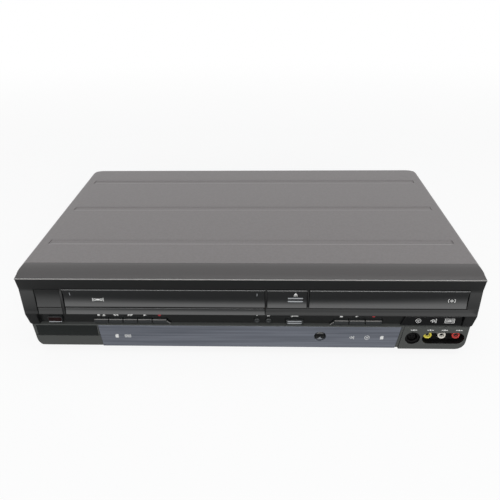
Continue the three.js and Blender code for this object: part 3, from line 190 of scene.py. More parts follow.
@dataclass(frozen=True)
class Finish:
    """A real material: its colours, its gloss and the pattern of its surface.

    Attributes:
        name: The material's common name.
        colour: Its main sRGB colour.
        tint: The colour that it varies to.
        roughness: Its typical roughness.
        grain: The pattern.
        size: The pattern's size in millimetres.
        depth: The pattern's height in millimetres.
        spread: How far the roughness varies.
        metallic: One for a bare metal.
        ior: The index of refraction.
        coat: The weight of a clear coat.
    """

    name: str
    colour: str
    tint: str
    roughness: float
    grain: Grain = Grain.CAST
    size: float = 1.2
    depth: float = 0.006
    spread: float = 0.06
    metallic: float = 0.0
    ior: float = 1.5
    coat: float = 0.0

    def material(self) -> bpy.types.Material:
        """Return the material, made the first time that it is asked for."""
        return bpy.data.materials.get(self.name) or self.make()

    def pattern(self, tree: Tree) -> Socket:
        """Add the pattern's nodes.

        Args:
            tree: The material's node tree.

        Returns:
            The pattern's value, from zero to one.
        """
        place = add_node(tree, "ShaderNodeTexCoord").outputs["Object"]
        scale = 1 / (self.size * MM)
        waves = {"Vector": place, "Scale": scale / WAVE_SCALE}
        if self.grain is Grain.SPANGLE:
            cells = add_node(tree, "ShaderNodeTexVoronoi", {"Vector": place, "Scale": scale})
            return add_node(tree, "ShaderNodeSeparateColor", {"Color": cells.outputs["Color"]}).outputs[0]
        if self.grain is Grain.TURNED:
            waves["Distortion"] = RING_DISTORTION
            return add_node(tree, "ShaderNodeTexWave", waves, wave_type="RINGS", rings_direction="Z").outputs["Fac"]
        if self.grain is Grain.WOVEN:
            threads = [add_node(tree, "ShaderNodeTexWave", waves, bands_direction=axis).outputs["Fac"] for axis in "XY"]
            return calculate(tree, "MULTIPLY", *threads)
        if self.grain is Grain.DRAWN:
            place = add_node(tree, "ShaderNodeMapping", {"Vector": place, "Scale": STREAK}).outputs[0]
        detail = {Grain.DRAWN: 3.0, Grain.CAST: 2.0, Grain.PEEL: 0.0}[self.grain]
        return add_node(tree, "ShaderNodeTexNoise", {"Vector": place, "Scale": scale, "Detail": detail}).outputs[0]

    def make(self) -> bpy.types.Material:
        """Build the material's nodes.

        Returns:
            The new material.
        """
        made = bpy.data.materials.new(self.name)
        tree = clear_nodes(made)
        value = self.pattern(tree)
        share = map_range(tree, value, CONTRAST, (0.0, 1.0))
        ends = {0: share, FIRST_COLOUR: linear(self.colour), SECOND_COLOUR: linear(self.tint)}
        height = {"Height": value, "Distance": self.depth * MM, "Strength": BUMP_STRENGTH}
        half = self.spread / 2
        inputs = {
            "Base Color": add_node(tree, "ShaderNodeMix", ends, data_type="RGBA").outputs[2],
            "Roughness": map_range(tree, value, (0.0, 1.0), (self.roughness - half, self.roughness + half)),
            "Normal": add_node(tree, "ShaderNodeBump", height).outputs[0],
            "Metallic": self.metallic,
            "IOR": self.ior,
            "Coat Weight": self.coat,
            "Coat Roughness": COAT_ROUGHNESS,
        }
        shader = add_node(tree, "ShaderNodeBsdfPrincipled", inputs)
        add_node(tree, "ShaderNodeOutputMaterial", {"Surface": shader.outputs[0]})
        return made


# Sprayed satin enamel on pressed steel: an even warm grey with a wide soft sheen. Its peel is drawn 2 mm wide to show.
COVER_ENAMEL = Finish("satin_enamel_on_steel", "#7c7878", "#817d7d", 0.44, Grain.PEEL, size=2.0, depth=0.002)
# The same enamel, painted lighter on the wall where it rises out of each groove: a painted highlight, which draws a
# pale line.
GROOVE_HIGHLIGHT_ENAMEL = Finish("enamel_painted_groove_highlight", "#918d8d", "#969292", 0.36, Grain.PEEL, size=2.0, depth=0.001)
# Moulded ABS, near black, with the light pebble of a spark eroded mould, drawn at 1 mm to show at all.
BEZEL_ABS = Finish("black_moulded_abs", "#131414", "#161717", 0.32, size=1.0, depth=0.004, ior=1.64, coat=0.3)
# The lower block is sprayed a dark warm grey over the same ABS, which lifts it out of the black.
LOWER_ABS = Finish("sprayed_dark_grey_abs", "#515351", "#565856", 0.36, size=1.0, depth=0.004, coat=0.2)
# The crown's upward faces take a warm satin black, lighter than the rest of the moulding as painted light from above,
# so that it reads as a dark continuation of the cover.
CROWN_TOP_LIGHT_ABS = Finish("satin_black_abs_painted_top_light", "#322f2f", "#363333", 0.34, size=1.0, depth=0.004, ior=1.64, coat=0.3)
# The crown's front edge and the top edges of the keys are painted pale: a painted highlight, which draws a pale line
# across the player.
EDGE_HIGHLIGHT_ABS = Finish("abs_painted_edge_highlight", "#8c8a88", "#949290", 0.25, size=1.0, depth=0.001, coat=0.5)
# The same ABS painted near black in recesses, grooves and sockets: painted shade, where hardly any light comes back
# out.
RECESS_SHADE_ABS = Finish("abs_painted_recess_shade", "#050505", "#070707", 0.6, size=1.2, depth=0.01, ior=1.35)
# Polished and lacquered ABS: the doors go from black at the head to a clean grey shine where they flare at the foot.
DOOR_ABS = Finish(
    "lacquered_black_abs", "#0e1011", "#111314", 0.2, size=1.6, depth=0.001, spread=0.02, ior=1.85, coat=1.0
)
# Smoked ABS of the card flap: black, with a calm even shine.
FLAP_GLOSS = Finish("smoked_polished_abs", "#242726", "#282b2a", 0.2, size=1.6, depth=0.001, spread=0.02)
# Satin ABS of the keys, a shade lighter than the band behind them.
KEY_ABS = Finish("satin_grey_abs", "#303233", "#363839", 0.32, size=1.0, depth=0.004, ior=1.6, coat=0.3)
# Acrylic printed on its back with a half mirror film: bluish grey with faint streaks along the width.
WINDOW_ACRYLIC = Finish("half_mirror_acrylic", "#656972", "#7f838d", 0.2, Grain.DRAWN, size=2.2, depth=0.01, coat=0.4)
# Dark acrylic, polished: almost black, with sharp reflections on the lens and the trim plate.
DARK_GLOSS = Finish("polished_dark_acrylic", "#0c0d0e", "#101112", 0.1, size=3.0, depth=0.004, coat=0.6)
# The same acrylic where the light that falls into the sensor's dome gathers at its foot: a soft grey glint.
LIT_ACRYLIC = Finish("lit_dark_acrylic", "#979ba0", "#9fa3a8", 0.2, size=3.0, depth=0.004, coat=0.6)
# Smoked red acrylic of the power button: a deep red that only shows in the light.
RED_WINDOW = Finish("smoked_red_acrylic", "#1d0a0a", "#240e0e", 0.18, size=3.0, depth=0.004)
# Zinc plated sheet: a cool dull metal, with crystals that differ by a trace from one to the next.
ZINC_SHEET = Finish("zinc_plated_steel", "#a3a6a9", "#a9acaf", 0.38, Grain.SPANGLE, size=5.0, depth=0.004, metallic=1.0)
# Nickel plated steel, drawn: bright, with fine lines along its length.
BRIGHT_STEEL = Finish(
    "nickel_plated_steel", "#c4c7ca", "#d2d4d6", 0.2, Grain.DRAWN, size=0.8, depth=0.003, metallic=1.0
)
# Turned aluminium: pale and bright, with the rings that the lathe left.
TURNED_ALLOY = Finish("turned_aluminium", "#b9bcbf", "#cdd0d2", 0.24, Grain.TURNED, size=0.8, depth=0.004, metallic=1.0)
# Blacked steel of the screws: dark, with a metal glint on the edges.
BLACK_STEEL = Finish("blacked_steel", "#1c1c1d", "#262627", 0.42, Grain.CAST, size=1.5, depth=0.01, metallic=0.6)
# Moulded rubber of the feet and the pinch roller: matte black without a highlight.
SOFT_RUBBER = Finish("moulded_rubber", "#191919", "#222222", 0.8, size=1.4, depth=0.03)
# Plain black ABS of the mechanism parts: dull, with a faint texture.
BLACK_ABS = Finish("black_mechanism_abs", "#121315", "#17181a", 0.45, size=1.2, depth=0.01)
# Acetal of the moving parts: dense and slightly waxy, in grey and in white.
GREY_ACETAL = Finish("grey_acetal", "#5a5d61", "#63666a", 0.4, size=1.4, depth=0.008)
WHITE_ACETAL = Finish("white_acetal", "#d9d9d3", "#e2e2dd", 0.38, size=1.4, depth=0.008)
# Coloured ABS of the jack rings: the plain bright colours that tell the signals apart.
YELLOW_ABS = Finish("yellow_abs", "#f3e452", "#f7ea66", 0.3)
RED_ABS = Finish("red_abs", "#d2443f", "#da504a", 0.3)
CREAM_ABS = Finish("cream_abs", "#f6f1e4", "#faf6ee", 0.3)
GREEN_ABS = Finish("green_abs", "#2c8a45", "#349650", 0.3)
BLUE_ABS = Finish("blue_abs", "#2a55a4", "#335fae", 0.3)
ORANGE_ABS = Finish("orange_abs", "#d9772a", "#e18336", 0.3)
# Moulded epoxy of the chips and coils: dull black with a fine grit.
CHIP_EPOXY = Finish("black_chip_epoxy", "#1d1d1e", "#252526", 0.5, size=0.8, depth=0.01)
# Glass cloth board under green lacquer: the weave shows through as a fine check.
GREEN_BOARD = Finish("green_glass_epoxy_board", "#24512e", "#2c6238", 0.35, Grain.WOVEN, size=2.0, depth=0.01)
# Phenolic paper board: a mottled tan.
BROWN_BOARD = Finish("brown_phenolic_board", "#6b4f2d", "#775a36", 0.5, size=2.5, depth=0.01)
# Glass of the display tube: dark green grey and glossy.
TUBE_GLASS = Finish("display_tube_glass", "#1c2b28", "#22332f", 0.08, size=4.0, depth=0.002, coat=0.5)
# Screen printing inks: flat, crisp colour that hardly shines.
WHITE_INK = Finish("white_printing_ink", "#f2f2f0", "#f6f6f4", 0.5, size=0.8, depth=0.002)
SILVER_INK = Finish("silver_printing_ink", "#a9acaf", "#b5b8bb", 0.4, size=0.8, depth=0.002)
RED_INK = Finish("red_printing_ink", "#a8343a", "#b23c42", 0.5, size=0.8, depth=0.002)
BLACK_INK = Finish("black_printing_ink", "#1b1c1d", "#222324", 0.5, size=0.8, depth=0.002)


class Signal(Enum):
    """What a jack carries, as the colour of its collar."""

    VIDEO = YELLOW_ABS
    LEFT = CREAM_ABS
    RIGHT = RED_ABS
    GREEN = GREEN_ABS
    BLUE = BLUE_ABS
    DIGITAL = ORANGE_ABS


AUDIO_VIDEO = (Signal.VIDEO, Signal.LEFT, Signal.RIGHT)


# Modelling


@dataclass(frozen=True)
class Zone:
    """A box of places, open on an axis that isn't given.

    Attributes:
        x: From where to where it reaches across.
        y: From where to where it reaches in depth.
        z: From where to where it reaches in height.
    """

    x: Span = (-FAR, FAR)
    y: Span = (-FAR, FAR)
    z: Span = (-FAR, FAR)

    def holds(self, place: Vector, normal: Vector | None = None) -> bool:
        """Tell whether a place lies in the zone, whatever way its face looks."""
        return all(low < value < high for value, (low, high) in zip(place, (self.x, self.y, self.z)))

    def facing(self, up: float = -1.1, front: float = -1.1) -> Test:
        """Return a test for the faces in the zone whose normal leans up and to the front by more than two shares."""
        return lambda place, normal: self.holds(place) and normal.z > up and -normal.y > front


def around(middle: float, reach: float = 0.1) -> Span:
    """Return the stretch that reaches as far to both sides of a value."""
    return middle - reach, middle + reach


def raised(profile: Sequence[Span], height: float) -> list[Span]:
    """Return a profile with every second coordinate raised by a height."""
    return [(first, second + height) for first, second in profile]


def tube(radii: Span, heights: Span) -> list[Span]:
    """Return the closed profile of a tube."""
    (inner, outer), (start, end) = radii, heights
    return [(inner, start), (outer, start), (outer, end), (inner, end), (inner, start)]


def deselect() -> None:
    """Leave edit mode with nothing selected."""
    if bpy.context.object and bpy.context.object.mode != "OBJECT":
        bpy.ops.object.mode_set(mode="OBJECT")
    bpy.ops.object.select_all(action="DESELECT")


def take_up(piece: Object) -> None:
    """Make a piece the only one selected, and the active one.

    Args:
        piece: The piece.
    """
    deselect()
    piece.select_set(True)
    bpy.context.view_layer.objects.active = piece


def settle(piece: Object, name: str) -> Object:
    """Fold a piece's place into its mesh and name it.

    Args:
        piece: The piece.
        name: Its name.

    Returns:
        The same piece.
    """
    take_up(piece)
    bpy.ops.object.transform_apply(location=True, rotation=True, scale=True)
    piece.name = name
    piece.data.name = name
    return piece


def block(name: str, low: Point, high: Point) -> Object:
    """Add a block between two corners.

    Args:
        name: The piece's name.
        low: Its lowest corner.
        high: Its highest corner.

    Returns:
        The block.
    """
    deselect()
    middle = [(a + b) / 2 * MM for a, b in zip(low, high)]
    size = [(b - a) * MM for a, b in zip(low, high)]
    bpy.ops.mesh.primitive_cube_add(size=1, location=middle, scale=size)
    return settle(bpy.context.object, name)


class Axis(Enum):
    """The direction that a turned or extruded piece points in, as a turn from +Z."""

    UP = (0.0, 0.0, 0.0)
    DOWN = (math.pi, 0.0, 0.0)
    FRONT = (math.pi / 2, 0.0, 0.0)
    BACK = (-math.pi / 2, 0.0, 0.0)
    RIGHT = (0.0, math.pi / 2, 0.0)
    LEFT = (0.0, -math.pi / 2, 0.0)


def rod(name: str, centre: Point, radius: float, length: float, axis: Axis = Axis.UP, sides: int = 32) -> Object:
    """Add a cylinder that starts at a point and runs along an axis.

    Args:
        name: The piece's name.
        centre: The middle of its first end.
        radius: Its radius.
        length: Its length.
        axis: The way that it runs.
        sides: How many sides it has.

    Returns:
        The cylinder.
    """
    deselect()
    bpy.ops.mesh.primitive_cylinder_add(vertices=sides, radius=radius * MM, depth=length * MM)
    piece = bpy.context.object
    piece.data.transform(Matrix.Translation((0, 0, length * MM / 2)))
    piece.rotation_euler = axis.value
    piece.location = Vector(centre) * MM
    return settle(piece, name)


def draw_line(points: Sequence[Point]) -> Object:
    """Draw a chain of edges by extruding one vertex from point to point.

    Args:
        points: The chain's points.

    Returns:
        The chain, in edit mode with all of it selected.
    """
    deselect()
    bpy.ops.mesh.primitive_plane_add(size=MM)
    piece = bpy.context.object
    bpy.ops.object.mode_set(mode="EDIT")
    bpy.ops.mesh.select_mode(type="VERT")
    bpy.ops.mesh.select_all(action="SELECT")
    bpy.ops.mesh.merge(type="CENTER")
    bpy.ops.transform.translate(value=Vector(points[0]) * MM)
    for before, after in zip(points, points[1:]):
        step = (Vector(after) - Vector(before)) * MM
        bpy.ops.mesh.extrude_region_move(TRANSFORM_OT_translate={"value": step})
    bpy.ops.mesh.select_all(action="SELECT")
    return piece


def revolve(name: str, profile: Sequence[Point], centre: Point, axis: Axis = Axis.UP, steps: int = 32) -> Object:
    """Spin a profile round an axis into a turned piece.

    Args:
        name: The piece's name.
        profile: Points of radius and height. It starts and ends on the axis, or ends where it starts.
        centre: The point that the heights are measured from.
        axis: The way that the heights run.
        steps: How many steps go round.

    Returns:
        The turned piece.
    """
    piece = draw_line([(radius, 0, height) for radius, height in profile])
    bpy.ops.mesh.spin(steps=steps, angle=2 * math.pi, center=(0, 0, 0), axis=(0, 0, 1))
    bpy.ops.mesh.select_all(action="SELECT")
    bpy.ops.mesh.remove_doubles(threshold=TURNED_WELD)
    bpy.ops.mesh.normals_make_consistent(inside=False)
    bpy.ops.object.mode_set(mode="OBJECT")
    piece.rotation_euler = axis.value
    piece.location = Vector(centre) * MM
    return settle(piece, name)


def prism(name: str, outline: Sequence[Point], along: str, span: Point) -> Object:
    """Fill an outline and extrude it along an axis.

    Args:
        name: The piece's name.
        outline: Points of (y, z) along x, (x, z) along y, or (x, y) along z.
        along: The axis.
        span: Where it starts and ends on that axis.

    Returns:
        The prism.
    """
    place = {
        "x": lambda u, v: (span[0], u, v),
        "y": lambda u, v: (u, span[0], v),
        "z": lambda u, v: (u, v, span[0]),
    }[along]
    piece = draw_line([place(u, v) for u, v in outline])
    bpy.ops.mesh.edge_face_add()
    direction = Vector([float(along == letter) for letter in "xyz"])
    bpy.ops.mesh.extrude_region_move(TRANSFORM_OT_translate={"value": direction * (span[1] - span[0]) * MM})
    bpy.ops.mesh.select_all(action="SELECT")
    bpy.ops.mesh.normals_make_consistent(inside=False)
    bpy.ops.object.mode_set(mode="OBJECT")
    return settle(piece, name)


def pick(piece: Object, kind: str, test: Callable[..., bool]) -> None:
    """Enter edit mode with the faces, edges or vertices that pass a test selected.

    Args:
        piece: The piece.
        kind: FACE, EDGE or VERT.
        test: Takes a place in millimetres, and a face's normal too. An edge passes where both its ends do.
    """
    take_up(piece)
    bpy.ops.object.mode_set(mode="EDIT")
    bpy.ops.mesh.select_mode(type=kind)
    bpy.ops.mesh.select_all(action="DESELECT")
    bpy.ops.object.mode_set(mode="OBJECT")
    mesh = piece.data
    if kind == "FACE":
        for face in mesh.polygons:
            face.select = test(face.center / MM, face.normal)
    else:
        passed = [test(vertex.co / MM) for vertex in mesh.vertices]
        if kind == "EDGE":
            for edge in mesh.edges:
                edge.select = all(passed[end] for end in edge.vertices)
        else:
            for vertex, chosen in zip(mesh.vertices, passed):
                vertex.select = chosen
    bpy.ops.object.mode_set(mode="EDIT")


def leave(piece: Object) -> Object:
    """Leave edit mode and return the piece."""
    bpy.ops.object.mode_set(mode="OBJECT")
    return piece


def push(piece: Object, test: Test, step: Point) -> Object:
    """Extrude the faces that pass a test.

    Args:
        piece: The piece.
        test: Takes a face's middle in millimetres and its normal.
        step: How far they move.

    Returns:
        The same piece.
    """
    pick(piece, "FACE", test)
    bpy.ops.mesh.extrude_region_move(TRANSFORM_OT_translate={"value": Vector(step) * MM})
    return leave(piece)


def sink(piece: Object, test: Test, margin: float, depth: float) -> Object:
    """Inset the faces that pass a test and sink them.

    Args:
        piece: The piece.
        test: Takes a face's middle in millimetres and its normal.
        margin: The width of the rim that is left.
        depth: How far they are sunk.

    Returns:
        The same piece.
    """
    pick(piece, "FACE", test)
    bpy.ops.mesh.inset(thickness=margin * MM, depth=-depth * MM)
    return leave(piece)


def cross_cut(piece: Object, heights: Sequence[float]) -> Object:
    """Cut every face at level heights, so that it can be bent there.

    Args:
        piece: The piece.
        heights: The heights.

    Returns:
        The same piece.
    """
    for height in heights:
        pick(piece, "FACE", Zone().holds)
        bpy.ops.mesh.bisect(plane_co=(0, 0, height * MM), plane_no=(0, 0, 1))
        leave(piece)
    return piece


def ease(piece: Object, zone: Zone, width: float, segments: int = 3) -> Object:
    """Round the edges whose two ends lie in a zone.

    Args:
        piece: The piece.
        zone: The zone.
        width: The bevel's width.
        segments: How many faces go round an edge.

    Returns:
        The same piece.
    """
    pick(piece, "EDGE", zone.holds)
    bpy.ops.mesh.bevel(offset=width * MM, segments=segments, clamp_overlap=True)
    return leave(piece)


def shift(piece: Object, zone: Zone, step: float) -> Object:
    """Move the vertices that lie in a zone back.

    Args:
        piece: The piece.
        zone: The zone.
        step: How far they move to the rear.

    Returns:
        The same piece.
    """
    pick(piece, "VERT", zone.holds)
    bpy.ops.transform.translate(value=(0, step * MM, 0))
    return leave(piece)


def soften(piece: Object, width: float, segments: int = 2) -> Object:
    """Round a piece's edges with a bevel, and shade it smooth.

    Args:
        piece: The piece.
        width: The bevel's width.
        segments: How many faces go round an edge.

    Returns:
        The same piece.
    """
    take_up(piece)
    bevel = piece.modifiers.new("edges", "BEVEL")
    bevel.width = width * MM
    bevel.segments = segments
    bevel.limit_method = "ANGLE"
    bevel.angle_limit = BEVEL_ANGLE
    bpy.ops.object.modifier_apply(modifier=bevel.name)
    bpy.ops.object.shade_smooth_by_angle(angle=SMOOTH_ANGLE)
    weighted = piece.modifiers.new("flat faces", "WEIGHTED_NORMAL")
    weighted.keep_sharp = True
    bpy.ops.object.modifier_apply(modifier=weighted.name)
    return piece


def carve(piece: Object, *tools: Object) -> Object:
    """Cut tools out of a piece and remove them.

    Args:
        piece: The piece.
        *tools: The shapes to cut out.

    Returns:
        The same piece.
    """
    for tool in tools:
        take_up(piece)
        cut = piece.modifiers.new("cut", "BOOLEAN")
        cut.operation = "DIFFERENCE"
        cut.solver = "EXACT"
        cut.object = tool
        bpy.ops.object.modifier_apply(modifier=cut.name)
        bpy.data.objects.remove(tool)
    return piece


def unite(name: str, pieces: Sequence[Object]) -> Object:
    """Join pieces into one.

    Args:
        name: The joined piece's name.
        pieces: The pieces.

    Returns:
        The joined piece.
    """
    deselect()
    for piece in pieces:
        piece.select_set(True)
    bpy.context.view_layer.objects.active = pieces[0]
    if len(pieces) > 1:
        bpy.ops.object.join()
    return settle(pieces[0], name)


def repeat(piece: Object, name: str, step: Point, turn: float = 0.0, centre: Point = (0, 0, 0)) -> Object:
    """Copy a piece with its own mesh, turned about an upright axis and moved.

    Args:
        piece: The piece.
        name: The copy's name.
        step: How far the copy is moved.
        turn: The copy's turn about Z, in degrees.
        centre: A point on the axis of the turn.

    Returns:
        The copy.
    """
    take_up(piece)
    bpy.ops.object.duplicate(linked=False)
    copy = bpy.context.object
    hub = Matrix.Translation(Vector(centre) * MM)
    turned = hub @ Matrix.Rotation(math.radians(turn), 4, "Z") @ hub.inverted()
    copy.data.transform(Matrix.Translation(Vector(step) * MM) @ turned)
    copy.name = name
    copy.data.name = name
    return copy


def merged_copy(name: str, node: str) -> Object:
    """Copy a CAD node's mesh with its flat faces merged, so that each edge can be rounded.

    Args:
        name: The new piece's name.
        node: The CAD node.

    Returns:
        The new piece.
    """
    take_up(frame["nodes"][node])
    bpy.ops.object.duplicate(linked=False)
    piece = bpy.context.object
    for key in list(piece.keys()):
        del piece[key]
    piece.parent = None
    piece.data.materials.clear()
    bpy.ops.object.mode_set(mode="EDIT")
    bpy.ops.mesh.select_all(action="SELECT")
    bpy.ops.mesh.remove_doubles(threshold=CAD_WELD)
    bpy.ops.mesh.dissolve_limited(angle_limit=FLAT_ANGLE)
    bpy.ops.mesh.select_all(action="SELECT")
    bpy.ops.mesh.vert_connect_concave()
    bpy.ops.object.mode_set(mode="OBJECT")
    piece.name = name
    piece.data.name = name
    return piece


def node_box(node: str) -> tuple[Vector, Vector]:
    """Return a CAD node's lowest and highest corners."""
    low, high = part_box(node)
    return low / MM, high / MM


def seat_of(node: str) -> tuple[Vector, float]:
    """Return the middle of a CAD node's rear face, and how far the node reaches to the front of it."""
    low, high = node_box(node)
    return Vector(((low.x + high.x) / 2, high.y, (low.z + high.z) / 2)), high.y - low.y


BODIES = {node: body for body, nodes in frame["record"]["behaviour"]["bodies"].items() for node in nodes}


def attach(piece: Object, finish: Finish, node: str, *parts: tuple[Finish, Test]) -> Object:
    """Give a piece its finishes and let it ride with a CAD node's body.

    Args:
        piece: The piece.
        finish: What it is made of.
        node: A CAD node of the body that it rides on.
        *parts: Other finishes, each with a test of the middle in millimetres and the normal of the faces that take it.

    Returns:
        The same piece.
    """
    piece.data.materials.append(finish.material())
    for slot, (other, test) in enumerate(parts, 1):
        piece.data.materials.append(other.material())
        for face in piece.data.polygons:
            if test(face.center / MM, face.normal):
                face.material_index = slot
    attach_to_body(piece, BODIES[node])
    LOG.info("%s: %s, with %s", piece.name, finish.name, node)
    return piece


def stand_for(piece: Object, finish: Finish, node: str, *parts: tuple[Finish, Test]) -> Object:
    """Attach a piece in place of a CAD node, and hide the node.

    Args:
        piece: The piece.
        finish: What it is made of.
        node: The CAD node.
        *parts: Other finishes, each with a test of the faces that take it.

    Returns:
        The same piece.
    """
    attach(piece, finish, node, *parts)
    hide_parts(node)
    return piece


@dataclass(frozen=True)
class Fitting:
    """A piece that keeps its CAD shape, with rounded edges.

    Attributes:
        name: Its name.
        node: Its CAD node.
        finish: What it is made of.
        edge: The width of its rounded edges.
        segments: How many faces go round an edge.
        parts: Other finishes, each with a test of the faces that take it.
    """

    name: str
    node: str
    finish: Finish
    edge: float = 0.25
    segments: int = 2
    parts: tuple[tuple[Finish, Test], ...] = ()

    def build(self) -> Object:
        """Build the piece."""
        piece = soften(merged_copy(self.name, self.node), self.edge, self.segments)
        return stand_for(piece, self.finish, self.node, *self.parts)


# Printed symbols


@dataclass(frozen=True)
class Face:
    """A face of the front that print lies on, straight or hollowed.

    Attributes:
        low: Its foot's height.
        high: Its head's height.
        y_low: Where its foot is.
        y_high: Where its head is.
        hollow: How deep it is hollowed between them.
    """

    low: float
    high: float
    y_low: float
    y_high: float
    hollow: float = 0.0

    def share(self, z: float) -> float:
        """Return how far a height lies from the head to the foot, from zero to one."""
        return min(max((self.high - z) / (self.high - self.low), 0.0), 1.0)

    def at(self, z: float) -> float:
        """Return the face's y at a height."""
        share = self.share(z)
        return self.y_high + (self.y_low - self.y_high) * share + 4 * self.hollow * share * (1 - share)

    def slope(self, z: float) -> float:
        """Return how far y runs for each millimetre of height."""
        return (self.y_high - self.y_low - 4 * self.hollow * (1 - 2 * self.share(z))) / (self.high - self.low)

    def section(self, low: float, steps: int = 12) -> list[Span]:
        """Return the face's outline from its head down to a height, as y and z."""
        heights = [self.high + (low - self.high) * index / steps for index in range(steps + 1)]
        return [(self.at(z), z) for z in heights]


def polygon(sides: int, radius: float) -> list[Span]:
    """Return the corners of a regular shape."""
    angles = [2 * math.pi * index / sides for index in range(sides)]
    return [(radius * math.cos(angle), radius * math.sin(angle)) for angle in angles]


def bar(low: Point, high: Point) -> list[Span]:
    """Return the corners of an upright rectangle."""
    return [(low[0], low[1]), (high[0], low[1]), (high[0], high[1]), (low[0], high[1])]


# The corners of a play triangle, in units of its height
ARROW = ((-0.4, -0.5), (0.42, 0.0), (-0.4, 0.5))


def arrow(step: Point = (0, 0), turn: float = 0.0, size: float = 1.0) -> list[Span]:
    """Return a triangle that points right, scaled, turned in degrees and moved."""
    cosine, sine = math.cos(math.radians(turn)) * size, math.sin(math.radians(turn)) * size
    return [(u * cosine - v * sine + step[0], u * sine + v * cosine + step[1]) for u, v in ARROW]


class Symbol(Enum):
    """The generic symbols on the front, as outlines and rings in units of the symbol's height."""

    PLAY = ([arrow()], [])
    STOP = ([bar((-0.42, -0.42), (0.42, 0.42))], [])
    RECORD = ([polygon(20, 0.46)], [])
    EJECT = ([arrow((0, 0.16), 90, 0.8), bar((-0.42, -0.48), (0.42, -0.3))], [])
    REWIND = ([arrow((-0.42, 0), 180), arrow((0.42, 0), 180)], [])
    FORWARD = ([arrow((-0.42, 0)), arrow((0.42, 0))], [])
    UP = ([arrow((0, 0), 90)], [])
    DOWN = ([arrow((0, 0), -90)], [])
    DISC = ([], [(0, 0, 0.42, 0.5), (0, 0, 0.12, 0.2)])
    CASSETTE = (
        [
            bar((-0.9, -0.5), (0.9, -0.4)),
            bar((-0.9, 0.4), (0.9, 0.5)),
            bar((-0.9, -0.4), (-0.8, 0.4)),
            bar((0.8, -0.4), (0.9, 0.4)),
            bar((-0.26, -0.16), (0.26, 0.16)),
        ],
        [(-0.5, 0, 0.12, 0.22), (0.5, 0, 0.12, 0.22)],
    )
    TRANSFER = (
        [
            bar((-0.7, 0.12), (0.35, 0.26)),
            arrow((0.55, 0.19), 0, 0.5),
            bar((-0.35, -0.26), (0.7, -0.12)),
            arrow((-0.55, -0.19), 180, 0.5),
        ],
        [],
    )
    INPUT = ([bar((-1.3, -0.16), (-0.5, 0.16)), polygon(16, 0.34), bar((0.5, -0.16), (1.3, 0.16))], [])
    CARD = ([[(-0.38, -0.5), (0.38, -0.5), (0.38, 0.5), (-0.16, 0.5), (-0.38, 0.26)]], [])
    SOUND = (
        [
            bar((-0.6, -0.15), (-0.46, 0.15)),
            bar((-0.3, -0.4), (-0.16, 0.4)),
            bar((0.0, -0.25), (0.14, 0.25)),
            bar((0.3, -0.5), (0.44, 0.5)),
        ],
        [],
    )


@dataclass(frozen=True)
class Printer:
    """Prints symbols and lines in a thin film on the front.

    Attributes:
        film: How far the ink stands out of its face.
        sunk: How far it reaches under the face, so that no gap shows.
    """

    film: float = 0.06
    sunk: float = 0.08

    def lay(self, name: str, shapes: list[Object], face: Face, place: Point, finish: Finish, node: str) -> Object:
        """Join shapes drawn at the origin, lean them with a face and set them on it.

        Args:
            name: The print's name.
            shapes: Thin shapes that face the front.
            face: The face that takes the print.
            place: The print's middle, as x and z.
            finish: Its ink.
            node: The CAD node that carries it.

        Returns:
            The print.
        """
        whole = unite(name, shapes)
        x, z = place
        lean = Matrix.Rotation(-math.atan(face.slope(z)), 4, "X")
        whole.data.transform(Matrix.Translation(Vector((x, face.at(z), z)) * MM) @ lean)
        return attach(whole, finish, node)

    def symbol(self, name: str, symbol: Symbol, face: Face, place: Point, height: float, node: str) -> Object:
        """Print a symbol, in red where it means recording.

        Args:
            name: The print's name.
            symbol: What it shows.
            face: The face that takes it.
            place: Its middle, as x and z.
            height: Its height.
            node: The CAD node that carries it.

        Returns:
            The print.
        """
        outlines, rings = symbol.value
        span = (-self.film, self.sunk)
        shapes = [prism(name, [(u * height, v * height) for u, v in outline], "y", span) for outline in outlines]
        for u, v, inner, outer in rings:
            profile = tube((inner * height, outer * height), (0, self.film + self.sunk))
            shapes.append(revolve(name, profile, (u * height, self.sunk, v * height), Axis.FRONT, PIN_SIDES))
        ink = RED_INK if symbol is Symbol.RECORD else WHITE_INK
        return self.lay(name, shapes, face, place, ink, node)

    def line(self, name: str, face: Face, span: Point, z: float, height: float, node: str) -> Object:
        """Print a silver line across a face.

        Args:
            name: The line's name.
            face: The face that takes it.
            span: Where it starts and ends across.
            z: Its height on the face.
            height: How thick it is.
            node: The CAD node that carries it.

        Returns:
            The line.
        """
        half = (span[1] - span[0]) / 2
        shape = block(name, (-half, -self.film, -height / 2), (half, self.sunk, height / 2))
        return self.lay(name, [shape], face, ((span[0] + span[1]) / 2, z), SILVER_INK, node)


# The cabinet


def screw_head(name: str, radius: float, height: float, shank: Point, seat: Point, axis: Axis) -> Object:
    """Turn a pan head screw with a cross recess.

    Args:
        name: The screw's name.
        radius: The head's radius.
        height: The head's height.
        shank: The shank's radius and length.
        seat: The middle of the head's underside.
        axis: The way that the head faces.

    Returns:
        The screw.
    """
    thin, length = shank
    profile = [(0, -length), (thin * TIP_SHARE, -length), (thin, -length + TIP_LENGTH), (thin, 0)]
    profile += [(u * radius, v * height) for u, v in HEAD_CURVE]
    head = revolve(name, profile, (0, 0, 0), Axis.UP, SCREW_SIDES)
    arm, half, deep = radius * ARM_SHARE, radius * REACH_SHARE, height * RECESS_SHARE
    arms = [block("arm", (-x, -y, height - deep), (x, y, height + deep)) for x, y in ((half, arm), (arm, half))]
    soften(carve(head, *arms), HEAD_EDGE)
    head.rotation_euler = axis.value
    head.location = Vector(seat) * MM
    return settle(head, name)


